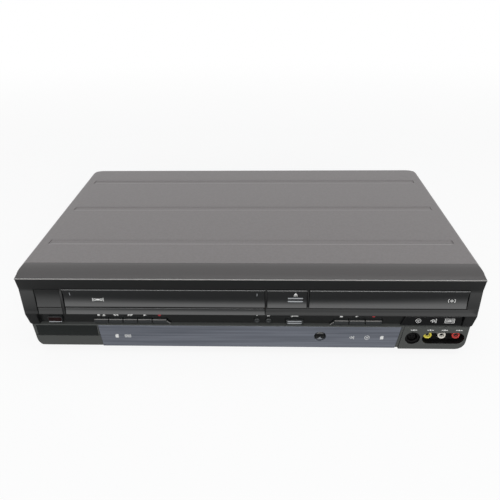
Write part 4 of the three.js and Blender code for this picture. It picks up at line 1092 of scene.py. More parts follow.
@dataclass
class Cabinet:
    """The pressed cover and its screws, the chassis pan and the rubber feet."""

    cover_bend: float = 0.5
    groove_starts: tuple[float, ...] = (-78.5, 1.0, 80.5)
    groove_slope: float = 1.6
    groove_top: float = 98.05
    groove_ease: float = 1.3
    rise_depth: Span = (-0.6, 3.6)
    rise_height: Span = (97.9, 98.99)
    rise_tilt: float = 0.1
    pan: Fitting = Fitting("chassis_sheet", "chassis_pan", ZINC_SHEET, 0.2)
    head_radius: float = 4.0
    head_height: float = 1.3
    shank_radius: float = 1.8
    foot_profile: tuple[Span, ...] = (
        (0, 1.2), (3.2, 1.2), (3.8, 0), (8, 0), (8, 0.8), (9, 0.8), (9, 0), (12, 0), (14, 2), (14, 8.7), (0, 8.7),
    )
    foot_edge: float = 0.3

    def add_sheets(self) -> None:
        """Round the folds and grooves of the cover and the folds of the pan."""
        cover = merged_copy("cover_shell", "top_cover")
        for start in self.groove_starts:
            shift(cover, Zone(y=around(start + self.groove_slope), z=(self.groove_top, FAR)), self.groove_ease)
        soften(cover, self.cover_bend, 3)
        near, far = self.rise_depth
        rises = [Zone(y=(start + near, start + far), z=self.rise_height) for start in self.groove_starts]

        def groove_highlight(place: Vector, normal: Vector) -> bool:
            """Tell whether a face lies where the cover rises out of a groove."""
            return normal.y > self.rise_tilt and any(rise.holds(place) for rise in rises)

        # The back-facing walls of the grooves take the painted highlight.
        stand_for(cover, COVER_ENAMEL, "top_cover", (GROOVE_HIGHLIGHT_ENAMEL, groove_highlight))
        self.pan.build()

    def add_screws(self) -> None:
        """Set a pan head screw in each side hole."""
        for side, axis in (("left", Axis.LEFT), ("right", Axis.RIGHT)):
            for place in ("front", "rear"):
                node = f"cover_screw_{place}_{side}"
                low, high = node_box(node)
                seat = (low + high) / 2
                seat.x = high.x - self.head_height if side == "right" else low.x + self.head_height
                shank = (self.shank_radius, high.x - low.x - self.head_height)
                screw = screw_head(f"side_screw_{place}_{side}", self.head_radius, self.head_height, shank, seat, axis)
                stand_for(screw, BLACK_STEEL, node)

    def add_feet(self) -> None:
        """Turn one ringed rubber foot and stand the four of them."""
        first = soften(revolve("foot", self.foot_profile, (0, 0, 0), Axis.UP, FOOT_SIDES), self.foot_edge)
        for place in ("front_left", "front_right", "rear_left", "rear_right"):
            low, high = node_box(f"foot_{place}")
            foot = repeat(first, f"rubber_foot_{place}", ((low.x + high.x) / 2, (low.y + high.y) / 2, low.z))
            stand_for(foot, SOFT_RUBBER, f"foot_{place}")
        bpy.data.objects.remove(first)

    def build(self) -> None:
        """Build the cabinet."""
        self.add_sheets()
        self.add_screws()
        self.add_feet()


# The front


@dataclass
class FrontPanel:
    """The moulded bezel with its keys, doors, window, sensor lens and jack bay."""

    printer: Printer = Printer()
    door_face: Face = Face(58.0, 77.6, -130.1, -130.1, 1.3)
    lip_face: Face = Face(50.67, 57.2, -131.1, -129.95, 0.2)
    bezel_lip: Face = Face(50.2, 58.0, -131.1, -129.72)
    trim_face: Face = Face(58.8, 78.2, -129.5, -129.5, 1.1)
    band_face: Face = Face(36.5, 50.2, -124.5, -124.5)
    key_face: Face = Face(36.9, 41.9, -127.5, -127.5)
    window_face: Face = Face(9.2, 35.1, -128.3, -128.3)
    plate_face: Face = Face(36.8, 47.1, -127.1, -127.1)
    bay_face: Face = Face(8.4, 35.4, -128.5, -128.5)
    covers: tuple[Fitting, ...] = (
        Fitting("card_door_flap", "card_door", FLAP_GLOSS, 0.3, 3),
        Fitting("display_window_pane", "display_window", WINDOW_ACRYLIC, 0.35, 3),
        Fitting("trim_plate_panel", "trim_plate", DARK_GLOSS, 0.3, 3),
        # The jack bay's recess behind its face takes painted shade.
        Fitting("jack_bay_panel", "jack_bay", LOWER_ABS, 0.3, 2, ((RECESS_SHADE_ABS, Zone(y=(-127.7, FAR)).holds),)),
    )
    seam_edge: Zone = Zone(y=(-FAR, -130.4), z=around(58.0))
    seam_step: float = 0.95
    lip_rows: tuple[float, ...] = (56.0, 54.6, 53.2, 51.8)
    lip_front: float = -129.9
    trim_rows: tuple[float, ...] = (76.0, 73.5, 71.0, 68.0, 65.0, 62.5, 60.5)
    trim_front: float = -129.2
    trim_span: Span = (-203.3, -179.5)
    row_reach: float = 0.05
    bezel_edge: float = 0.25
    long_edges: tuple[tuple[Zone, float], ...] = (
        (Zone(y=(-FAR, -132.4), z=(92.0, FAR)), 0.7),
        (Zone(y=(-FAR, -129.6), z=around(58.0)), 0.8),
        (Zone(y=(-FAR, -131.0), z=around(50.2)), 0.4),
    )
    lower_block: Zone = Zone(y=(-FAR, -124.6), z=(-FAR, 36.6))
    crown: Zone = Zone(z=(92.6, FAR))
    crown_tilt: float = 0.15
    crown_edge: Zone = Zone(y=(-FAR, -132.2), z=(91.2, 92.6))
    seam: Zone = Zone(y=(-130.1, -129.0), z=(57.3, 58.05))
    slants: tuple[tuple[str, float], ...] = (
        ("tape_stop_eject_key", 0.0), ("tape_rewind_key", 0.0), ("tape_fast_forward_key", 0.0), ("tape_play_key", 0.0),
        ("tape_record_key", 4.5), ("disc_stop_key", -4.5), ("disc_play_key", 0.0), ("disc_record_key", 0.0),
    )
    key_edge: float = 0.6
    key_tilt: float = 0.3
    wedge_height: float = 3.75
    wedge_back: float = -125.7
    wedge_edge: float = 0.36
    flange_front: float = -121.8
    flange_rise: float = 1.2
    flange_depth: float = 1.4
    stem: float = 3.0
    stem_overlap: float = 0.2
    red_margin: float = 0.9
    red_depth: float = 0.25
    red_layer: Span = (0.1, 0.4)
    red_tilt: float = 0.9
    front_layer: float = 0.05
    button_seat: float = -122.1
    button_stem: float = -120.6
    button_foot: tuple[Span, ...] = ((0, -1.7), (3.8, -1.7), (3.8, -0.3), (2.6, -0.3))
    button_head: tuple[Span, ...] = ((2.6, -0.4), (2.2, 0), (1.7, 0), (1.2, -0.25), (0, -0.3))
    button_edge: float = 0.12
    panel_back: float = -127.3
    panel_head: tuple[Span, ...] = ((-128.9, 0.0), (-129.5, -0.15), (-129.95, -0.5))
    panel_gap: float = 0.2
    panel_edge: float = 0.3
    panel_stem: Point = (9.4, 0.6, 9.8)
    door_gap: float = 1.45
    door_edge: float = 0.15
    door_groove: tuple[Span, ...] = ((-129.5, 57.8), (-129.0, 57.9), (-129.0, 58.7))
    door_foot: float = 58.8
    door_head: tuple[Span, ...] = ((-129.95, 78.25), (-129.5, 78.6), (-128.9, 78.78), (-128.6, 78.75))
    door_back: tuple[Span, ...] = ((-127.9, 78.7), (-127.3, 78.3), (-127.1, 77.7), (-127.9, 58.0), (-128.7, 50.67))
    groove: Zone = Zone(y=(-129.8, -128.6), z=(57.2, 58.8))
    pin_place: Span = (-128.2, 77.7)
    pin_radius: float = 1.0
    pin_length: float = 2.0
    dome: tuple[Span, ...] = ((0, 0), (5.5, 0), (5.3, 0.2), (4.7, 0.52), (3.6, 0.78), (2.0, 0.95), (0, 1))
    dome_smooth: float = 50.0
    glint: Span = (1.0, 4.7)
    glint_slope: float = 0.8
    jacks: tuple[tuple[str, Signal], ...] = (
        ("video", Signal.VIDEO), ("audio_left", Signal.LEFT), ("audio_right", Signal.RIGHT),
    )
    ring: tuple[Span, ...] = ((2.5, -8), (4.0, -8), (4.0, -0.4), (3.6, 0), (2.9, 0), (2.5, -0.3), (2.5, -8))
    sleeve: Span = (1.7, 2.4)
    sleeve_start: float = 7.0
    sleeve_sunk: float = 2.4
    jack_body: float = 9.2
    body_edge: float = 0.4
    cup: tuple[Span, ...] = ((7.0, -0.4), (6.6, 0), (5.2, 0), (4.9, -0.3), (4.9, -7), (0, -7))
    insert: Point = (3.6, 5.0, 6.8)
    pin_holes: tuple[Span, ...] = ((-1.7, 0.9), (1.7, 0.9), (-1.3, -1.4), (1.3, -1.4))
    hole_radius: float = 0.55
    hole_start: float = -1.0
    hole_length: float = 6.0
    key_slot: tuple[Point, Point] = ((-0.9, -1, -3.0), (0.9, 5, -2.2))
    svideo_body: float = 9.0
    print_rise: float = 45.4
    print_shift: float = 6.9

    def add_bezel(self) -> None:
        """Round the bezel's edges, the long ones wide enough to draw a line of light."""
        bezel = merged_copy("bezel_shell", "front_bezel")
        shift(bezel, self.seam_edge, self.seam_step)
        cross_cut(bezel, self.lip_rows + self.trim_rows)
        for row in self.trim_rows:
            zone = Zone(self.trim_span, (-FAR, self.trim_front), around(row, self.row_reach))
            shift(bezel, zone, self.trim_face.at(row) - self.trim_face.y_high)
        for row in self.lip_rows:
            zone = Zone(y=(-FAR, self.lip_front), z=around(row, self.row_reach))
            shift(bezel, zone, self.lip_face.at(row) - self.bezel_lip.at(row))
        for zone, width in self.long_edges:
            ease(bezel, zone, width)
        stand_for(
            soften(bezel, self.bezel_edge), BEZEL_ABS, "front_bezel",
            (LOWER_ABS, self.lower_block.holds),
            # The crown's upward faces are painted lighter: painted light from above.
            (CROWN_TOP_LIGHT_ABS, self.crown.facing(up=self.crown_tilt)),
            # The crown's front edge takes a painted highlight.
            (EDGE_HIGHLIGHT_ABS, self.crown_edge.holds),
            # The seam between the doors and the lip takes painted shade.
            (RECESS_SHADE_ABS, self.seam.holds),
        )

    def key_stem(self, node: str, start: Vector) -> Object:
        """Model the square stem that runs back from a point to a key's rear end."""
        half = Vector((self.stem / 2, 0, self.stem / 2))
        return block("stem", start - half, Vector((start.x, node_box(node)[1].y, start.z)) + half)

    def key(self, node: str, slant: float = 0.0) -> Object:
        """Model a key: a cap, pulled out to a slant at one end, with a flange and a stem behind it.

        Args:
            node: The CAD node that gives its place.
            slant: How far the foot of the cap reaches past its end, negative to the left.

        Returns:
            The key.
        """
        low, high = node_box(node)
        left, right = low.x + max(-slant, 0), high.x - max(slant, 0)
        bottom, top = low.z + self.flange_rise, high.z - self.flange_rise
        flange = self.flange_front
        cap = block("cap", (left, low.y, bottom), (right, flange, top))
        push(cap, lambda place, normal: normal.y > FACING, (0, self.flange_depth, 0))
        push(cap, lambda place, normal: normal.z > FACING and place.y > flange, (0, 0, self.flange_rise))
        push(cap, lambda place, normal: normal.z < -FACING and place.y > flange, (0, 0, -self.flange_rise))
        start = Vector(((left + right) / 2, flange + self.flange_depth - self.stem_overlap, (bottom + top) / 2))
        parts = [soften(cap, self.key_edge), self.key_stem(node, start)]
        if slant:
            end = right if slant > 0 else left
            wedge = [(end, bottom), (end + slant, bottom), (end, bottom + self.wedge_height)]
            parts.append(soften(prism("wedge", wedge, "y", (low.y, self.wedge_back)), self.wedge_edge))
        return unite(f"{node}_cap", parts)

    def add_keys(self) -> None:
        """Model the tape keys, the disc keys and the dubbing button."""
        for node, slant in self.slants:
            # The top front bevels of the keys take a painted highlight.
            edge = Zone(y=(-FAR, node_box(node)[0].y + self.key_edge))
            lit = edge.facing(up=self.key_tilt, front=self.key_tilt)
            stand_for(self.key(node, slant), KEY_ABS, node, (EDGE_HIGHLIGHT_ABS, lit))
        stand_for(self.key("dub_button"), KEY_ABS, "dub_button")

    def add_power_button(self) -> None:
        """Model the power button with a sunk red window."""
        front = node_box("power_button")[0].y
        button = self.key("power_button")
        foremost = Zone(y=(-FAR, front + self.front_layer)).facing(front=FACING)
        sink(button, foremost, self.red_margin, self.red_depth)
        near, far = self.red_layer
        window = Zone(y=(front + near, front + far)).facing(front=self.red_tilt)
        stand_for(button, KEY_ABS, "power_button", (RED_WINDOW, window))

    def add_channel_buttons(self) -> None:
        """Turn the two round channel buttons, with dished tops."""
        for node in ("channel_down_button", "channel_up_button"):
            low, high = node_box(node)
            middle = (low + high) / 2
            middle.y = self.button_seat
            profile = [*self.button_foot, *raised(self.button_head, self.button_seat - low.y)]
            button = soften(revolve("button", profile, middle, Axis.FRONT, JACK_SIDES), self.button_edge)
            middle.y = self.button_stem
            stand_for(unite(f"{node}_cap", [button, self.key_stem(node, middle)]), KEY_ABS, node)

    def panel(self, node: str) -> Object:
        """Model a hollowed panel that flares out to its foot, with a rounded head that catches the light.

        Args:
            node: The CAD node that gives its place.

        Returns:
            The panel.
        """
        low, high = node_box(node)
        head = [(self.panel_back, high.z), *raised(self.panel_head, high.z)]
        section = [*head, *self.door_face.section(low.z), (self.panel_back, low.z)]
        span = (low.x + self.panel_gap, high.x - self.panel_gap)
        return soften(prism(f"{node}_panel", section, "x", span), self.panel_edge, 3)

    def add_tray_button(self) -> None:
        """Model the open and close button, a panel with a stem behind it."""
        low, high = node_box("tray_button")
        middle, half = (low + high) / 2, Vector(self.panel_stem) / 2
        start = Vector((middle.x, self.panel_back, middle.z)) - half
        stem = soften(block("stem", start, (middle.x + half.x, high.y, middle.z + half.z)), self.panel_edge)
        stand_for(unite("tray_button_panel", [self.panel("tray_button"), stem]), DOOR_ABS, "tray_button")

    def add_cassette_door(self) -> None:
        """Model the cassette door: a flared face, a groove, the lip under it, and its pins."""
        low, high = node_box("cassette_door")
        lip, face = self.lip_face.section(self.lip_face.low), self.door_face.section(self.door_foot)
        section = [*lip[::-1], *self.door_groove, *face[::-1], *self.door_head, *self.door_back]
        span = (low.x + self.door_gap, high.x - self.door_gap)
        panel = soften(prism("panel", section, "x", span), self.door_edge)
        pins = [
            rod("pin", (x, *self.pin_place), self.pin_radius, self.pin_length, axis, PIN_SIDES)
            for x, axis in ((low.x, Axis.RIGHT), (high.x, Axis.LEFT))
        ]
        door = unite("cassette_door_panel", [panel, *pins])
        # The groove under the door's face takes painted shade.
        stand_for(door, DOOR_ABS, "cassette_door", (RECESS_SHADE_ABS, self.groove.holds))

    def add_lens(self) -> None:
        """Turn the dark dome over the infrared sensor, with a glint at its foot."""
        seat, reach = seat_of("ir_lens")
        profile = [(radius, share * reach) for radius, share in self.dome]
        lens = revolve("sensor_lens", profile, seat, Axis.FRONT, DOME_SIDES)
        take_up(lens)
        bpy.ops.object.shade_smooth_by_angle(angle=math.radians(self.dome_smooth))
        near, far = self.glint

        def lit(place: Vector, normal: Vector) -> bool:
            """Tell whether a face lies in the wedge of the dome where the light gathers."""
            return near + abs(place.x - seat.x) * self.glint_slope < seat.z - place.z < far

        stand_for(lens, DARK_GLOSS, "ir_lens", (LIT_ACRYLIC, lit))

    def add_jacks(self) -> None:
        """Model the three jacks: coloured rings round metal sleeves, with a body behind each."""
        for place, signal in self.jacks:
            node = f"rca_jack_{place}"
            seat, reach = seat_of(node)
            ring = revolve(f"jack_{place}_ring", raised(self.ring, reach), seat, Axis.FRONT, RING_SIDES)
            attach(ring, signal.value, node)
            profile = tube(self.sleeve, (self.sleeve_start, reach - self.sleeve_sunk))
            attach(revolve(f"jack_{place}_sleeve", profile, seat, Axis.FRONT, JACK_SIDES), BRIGHT_STEEL, node)
            stand_for(self.socket_body(f"jack_{place}_body", node, self.jack_body), BLACK_ABS, node)

    def socket_body(self, name: str, node: str, depth: float) -> Object:
        """Model the moulded body at the back of a socket."""
        low, high = node_box(node)
        return soften(block(name, (low.x, high.y - depth, low.z), high), self.body_edge)

    def add_svideo(self) -> None:
        """Turn the four pin socket's cup, with its insert."""
        seat, reach = seat_of("svideo_socket")
        front = seat - Vector((0, reach, 0))
        cup = [(0, 0), (self.cup[0][0], 0), *raised(self.cup, reach)]
        socket = revolve("svideo_cup", cup, seat, Axis.FRONT, DOME_SIDES)
        radius, length, sunk = self.insert
        insert = rod("insert", front + Vector((0, sunk, 0)), radius, length, Axis.FRONT)
        starts = [front + Vector((x, self.hole_start, z)) for x, z in self.pin_holes]
        holes = [rod("hole", place, self.hole_radius, self.hole_length, Axis.BACK, HOLE_SIDES) for place in starts]
        slot = block("slot", *(front + Vector(corner) for corner in self.key_slot))
        body = self.socket_body("body", "svideo_socket", self.svideo_body)
        whole = unite("svideo_socket_body", [socket, carve(insert, *holes, slot), body])
        # The whole socket is painted near black as painted shade.
        stand_for(whole, RECESS_SHADE_ABS, "svideo_socket")

    def add_symbols(self) -> None:
        """Print the symbols on the band, the doors, the window, the trim plate and the jack bay."""
        high = self.print_rise
        keys = {"rewind": Symbol.REWIND, "fast_forward": Symbol.FORWARD, "play": Symbol.PLAY, "record": Symbol.RECORD}
        band = [
            (f"tape_{name}", symbol, node_box(f"tape_{name}_key")[0].x + self.print_shift, high, 3.2)
            for name, symbol in keys.items()
        ]
        band += [
            ("tape_stop", Symbol.STOP, -147.4, high, 3.0), ("tape_eject", Symbol.EJECT, -142.3, high, 3.3),
            ("disc_stop", Symbol.STOP, 90.3, high, 3.2), ("disc_play", Symbol.PLAY, 105.5, high, 3.2),
            ("disc_record", Symbol.RECORD, 121.5, high, 3.2), ("channel_down", Symbol.DOWN, 8.4, 46.0, 3.0),
            ("channel_up", Symbol.UP, 19.6, 46.0, 3.0), ("dub", Symbol.TRANSFER, 45.0, 46.0, 5.0),
        ]
        window = [
            ("window_0", Symbol.CARD, -131.5, 22.0, 4.2), ("window_1", Symbol.CASSETTE, -120.5, 22.0, 3.4),
            ("window_2", Symbol.SOUND, 102.0, 22.0, 4.2), ("window_3", Symbol.DISC, 116.6, 22.0, 5.0),
            ("window_4", Symbol.CARD, 131.0, 22.0, 4.2),
        ]
        plate = [
            ("plate_0", Symbol.DISC, 164.0, 42.2, 5.2), ("plate_1", Symbol.SOUND, 179.0, 42.2, 5.2),
            ("plate_2", Symbol.CASSETTE, 194.0, 42.2, 5.2),
        ]
        bay = [(f"jack_{index}", Symbol.INPUT, x, 31.9, 2.4) for index, x in enumerate((161.0, 176.9, 190.7, 204.5))]
        sheets = (
            (self.band_face, "front_bezel", band),
            (self.door_face, "tray_button", [("tray_open", Symbol.EJECT, 45.0, 73.6, 4.4)]),
            (self.door_face, "cassette_door", [("cassette", Symbol.CASSETTE, -143.5, 66.5, 6.0)]),
            (self.door_face, "tray_door", [("disc", Symbol.DISC, 191.0, 67.0, 7.0)]),
            (self.window_face, "display_window", window),
            (self.plate_face, "trim_plate", plate),
            (self.bay_face, "jack_bay", bay),
        )
        for face, node, prints in sheets:
            for name, symbol, x, z, height in prints:
                self.printer.symbol(f"print_{name}", symbol, face, (x, z), height, node)

    def add_lines(self) -> None:
        """Print the silver lines on the buttons and the two ticks on the cassette door."""
        lines = (
            ("dub_line_0", self.key_face, (38.2, 51.8), 40.6, 1.1, "dub_button"),
            ("dub_line_1", self.key_face, (38.2, 51.8), 38.3, 1.1, "dub_button"),
            ("power_line", self.key_face, (-196.9, -184.3), 38.7, 0.9, "power_button"),
            ("tray_line_0", self.door_face, (37.8, 51.9), 68.9, 1.3, "tray_button"),
            ("tray_line_1", self.door_face, (37.8, 51.9), 65.4, 1.3, "tray_button"),
            ("tick_0", self.door_face, around(-169.6, 0.25), 73.0, 3.6, "cassette_door"),
            ("tick_1", self.door_face, around(8.7, 0.25), 73.0, 3.6, "cassette_door"),
        )
        for name, face, span, z, height, node in lines:
            self.printer.line(f"print_{name}", face, span, z, height, node)

    def build(self) -> None:
        """Build the front."""
        self.add_bezel()
        self.add_keys()
        self.add_power_button()
        self.add_channel_buttons()
        self.add_tray_button()
        self.add_cassette_door()
        stand_for(self.panel("tray_door"), DOOR_ABS, "tray_door")
        for cover in self.covers:
            cover.build()
        self.add_lens()
        self.add_jacks()
        self.add_svideo()
        self.add_symbols()
        self.add_lines()


# The rear


@dataclass
class Rear:
    """The rear panel with its screws, jacks, mains inlet and fan."""

    fittings: tuple[Fitting, ...] = (
        Fitting("rear_sheet", "rear_panel", ZINC_SHEET, 0.2),
        Fitting("mains_inlet_shell", "mains_inlet", BLACK_ABS, 0.3),
        Fitting("fan_shell", "fan_frame", BLACK_ABS),
        Fitting("fan_blades", "fan_rotor", GREY_ACETAL, 0.15),
    )
    back: float = 124.2
    screw_places: tuple[Span, ...] = ((-190, 88), (-60, 88), (60, 88), (150, 88), (-190, 20), (80, 20), (150, 20))
    screw_radius: float = 2.8
    screw_height: float = 1.0
    screw_shank: Span = (1.5, 3.0)
    first: float = -138.75
    pitch: float = 22.5
    rows: Span = (26.2, 46.2)
    lower: tuple[Signal, ...] = (*AUDIO_VIDEO, *AUDIO_VIDEO, Signal.RIGHT, Signal.BLUE)
    upper: tuple[Signal, ...] = (*AUDIO_VIDEO, *AUDIO_VIDEO, Signal.DIGITAL, Signal.GREEN)
    jack_seat: float = 122.4
    body_front: float = 122.9
    body_edge: float = 0.4
    collar: float = 4.2
    collar_height: float = 5.0
    collar_edge: float = 0.1
    chamfer: float = 0.6
    sleeve: float = 3.6
    sleeve_chamfer: float = 0.3
    lining: float = 3.0
    lining_sunk: float = 0.6
    bore: float = 1.7
    groups: tuple[tuple[int, int], ...] = ((0, 2), (3, 5), (6, 6), (7, 7))
    frame_reach: float = 9.2
    frame_line: float = 0.5
    film: float = 0.05
    pin_pitch: float = 8.6
    pin_radius: float = 1.25
    pin_start: float = 114.6
    pin_length: float = 7.1
    pin_drop: float = 10.0
    pin_edge: float = 0.3

    def add_screws(self) -> None:
        """Set the screws that hold the panel."""
        for index, (x, z) in enumerate(self.screw_places):
            seat = (x, self.back, z)
            name = f"rear_screw_{index}"
            screw = screw_head(name, self.screw_radius, self.screw_height, self.screw_shank, seat, Axis.BACK)
            attach(screw, BLACK_STEEL, "rear_panel")

    def add_jacks(self) -> None:
        """Turn one jack's collar, sleeve and lining, and set a jack of the right colour in each hole."""
        node = "rear_jack_block"
        low, high = node_box(node)
        body = block("jack_block_body", low, (high.x, self.body_front, high.z))
        stand_for(soften(body, self.body_edge), BLACK_ABS, node)
        tip, wall = high.y - self.jack_seat, self.sleeve
        bevel = (wall - self.sleeve_chamfer, tip)
        profiles = {
            "collar": [
                (wall, 0), (self.collar, 0), (self.collar, self.collar_height),
                (wall, self.collar_height + self.chamfer), (wall, 0),
            ],
            "sleeve": [
                (self.lining, 0), (wall, 0), (wall, tip - self.sleeve_chamfer), bevel,
                (self.lining, tip), (self.lining, 0),
            ],
            "lining": tube((self.bore, self.lining), (0, tip - self.lining_sunk)),
        }
        firsts = {
            name: revolve(name, profile, (0, self.jack_seat, 0), Axis.BACK, JACK_SIDES)
            for name, profile in profiles.items()
        }
        for name in ("collar", "sleeve"):
            soften(firsts[name], self.collar_edge, 1)
        for row, (z, signals) in enumerate(zip(self.rows, (self.lower, self.upper))):
            for column, signal in enumerate(signals):
                finishes = {"collar": signal.value, "sleeve": BRIGHT_STEEL, "lining": CREAM_ABS}
                for name, finish in finishes.items():
                    step = (self.first + self.pitch * column, 0, z)
                    attach(repeat(firsts[name], f"rear_{name}_{row}_{column}", step), finish, node)
        for piece in firsts.values():
            bpy.data.objects.remove(piece)

    def add_marks(self) -> None:
        """Print a thin frame round each group of jacks, as rear panels have, with no lettering."""
        margin = Vector((self.frame_line / 2, self.film, self.frame_line / 2))
        low, high = self.rows[0] - self.frame_reach, self.rows[1] + self.frame_reach
        for index, (first, last) in enumerate(self.groups):
            left = self.first + self.pitch * first - self.frame_reach
            right = self.first + self.pitch * last + self.frame_reach
            bars = (
                (left, low, right, low), (left, high, right, high),
                (left, low, left, high), (right, low, right, high),
            )
            shapes = [
                block("bar", Vector((x, self.back, z)) - margin, Vector((far_x, self.back, far_z)) + margin)
                for x, z, far_x, far_z in bars
            ]
            attach(unite(f"rear_frame_{index}", shapes), BLACK_INK, "rear_panel")

    def add_pins(self) -> None:
        """Set the two metal pins in the mains inlet."""
        low, high = node_box("mains_inlet")
        x, z = (low.x + high.x) / 2, high.z - self.pin_drop
        for index, side in enumerate((-0.5, 0.5)):
            start = (x + side * self.pin_pitch, self.pin_start, z)
            pin = rod(f"mains_pin_{index}", start, self.pin_radius, self.pin_length, Axis.BACK, PIN_SIDES)
            attach(soften(pin, self.pin_edge), BRIGHT_STEEL, "mains_inlet")

    def build(self) -> None:
        """Build the rear."""
        for fitting in self.fittings:
            fitting.build()
        self.add_screws()
        self.add_jacks()
        self.add_marks()
        self.add_pins()


# The inside


@dataclass
class Inside:
    """The tape deck, the disc drive and the boards."""

    fittings: tuple[Fitting, ...] = (
        Fitting("deck_sheet", "tape_deck_plate", ZINC_SHEET),
        Fitting("holder_cage", "cassette_holder", BRIGHT_STEEL),
        Fitting("slider_frame", "loading_slider", GREY_ACETAL, 0.3),
        Fitting("supply_reel_disc", "supply_reel_table", WHITE_ACETAL),
        Fitting("takeup_reel_disc", "takeup_reel_table", WHITE_ACETAL),
        Fitting("drum_base", "lower_drum", TURNED_ALLOY),
        Fitting("drum_head", "head_drum", TURNED_ALLOY),
        Fitting("capstan_wheel", "capstan", BRIGHT_STEEL),
        Fitting("pinch_lever", "pinch_arm", BRIGHT_STEEL),
        Fitting("pinch_tyre", "pinch_roller", SOFT_RUBBER),
        Fitting("drive_case", "drive_housing", BLACK_ABS, 0.3),
        Fitting("tray_shelf", "disc_tray", BLACK_ABS, 0.3),
        Fitting("traverse_sheet", "traverse_plate", ZINC_SHEET),
        Fitting("turntable_hub", "disc_turntable", BLACK_ABS),
        Fitting("pickup_sled", "optical_pickup", GREY_ACETAL),
        Fitting("clamp_puck", "disc_clamp", GREY_ACETAL),
        Fitting("display_glass", "display_tube", TUBE_GLASS, 0.4),
        Fitting("main_board_stack", "main_board", GREEN_BOARD, 0.2, parts=(
            (CHIP_EPOXY, Zone(z=(16.2, FAR)).holds), (BRIGHT_STEEL, Zone(y=(60.0, FAR), z=(16.2, FAR)).holds),
        )),
        Fitting("power_board_stack", "power_board", BROWN_BOARD, 0.2, parts=((CHIP_EPOXY, Zone(z=(16.2, FAR)).holds),)),
        Fitting("front_board_stack", "front_board", BROWN_BOARD, 0.2),
    )

    def build(self) -> None:
        """Build the inside."""
        for fitting in self.fittings:
            fitting.build()


# The studio


@dataclass(frozen=True)
class Softbox:
    """A rectangular lamp.

    Attributes:
        name: Its name.
        place: Where it hangs.
        aim: The point that it faces.
        size: Its width and height.
        power: Its power in watts.
        shines: Whether glossy surfaces show it.
    """

    name: str
    place: Point
    aim: Point
    size: Span
    power: float
    shines: bool = True

    def hang(self) -> None:
        """Hang the lamp and aim it."""
        data = bpy.data.lights.new(self.name, "AREA")
        data.shape = "RECTANGLE"
        data.size, data.size_y = (side * MM for side in self.size)
        data.energy = self.power
        lamp = bpy.data.objects.new(self.name, data)
        bpy.context.scene.collection.objects.link(lamp)
        lamp.location = Vector(self.place) * MM
        lamp.visible_camera = False
        lamp.visible_glossy = self.shines
        lamp.rotation_mode = "QUATERNION"
        lamp.rotation_quaternion = (Vector(self.aim) - Vector(self.place)).to_track_quat("-Z", "Y")


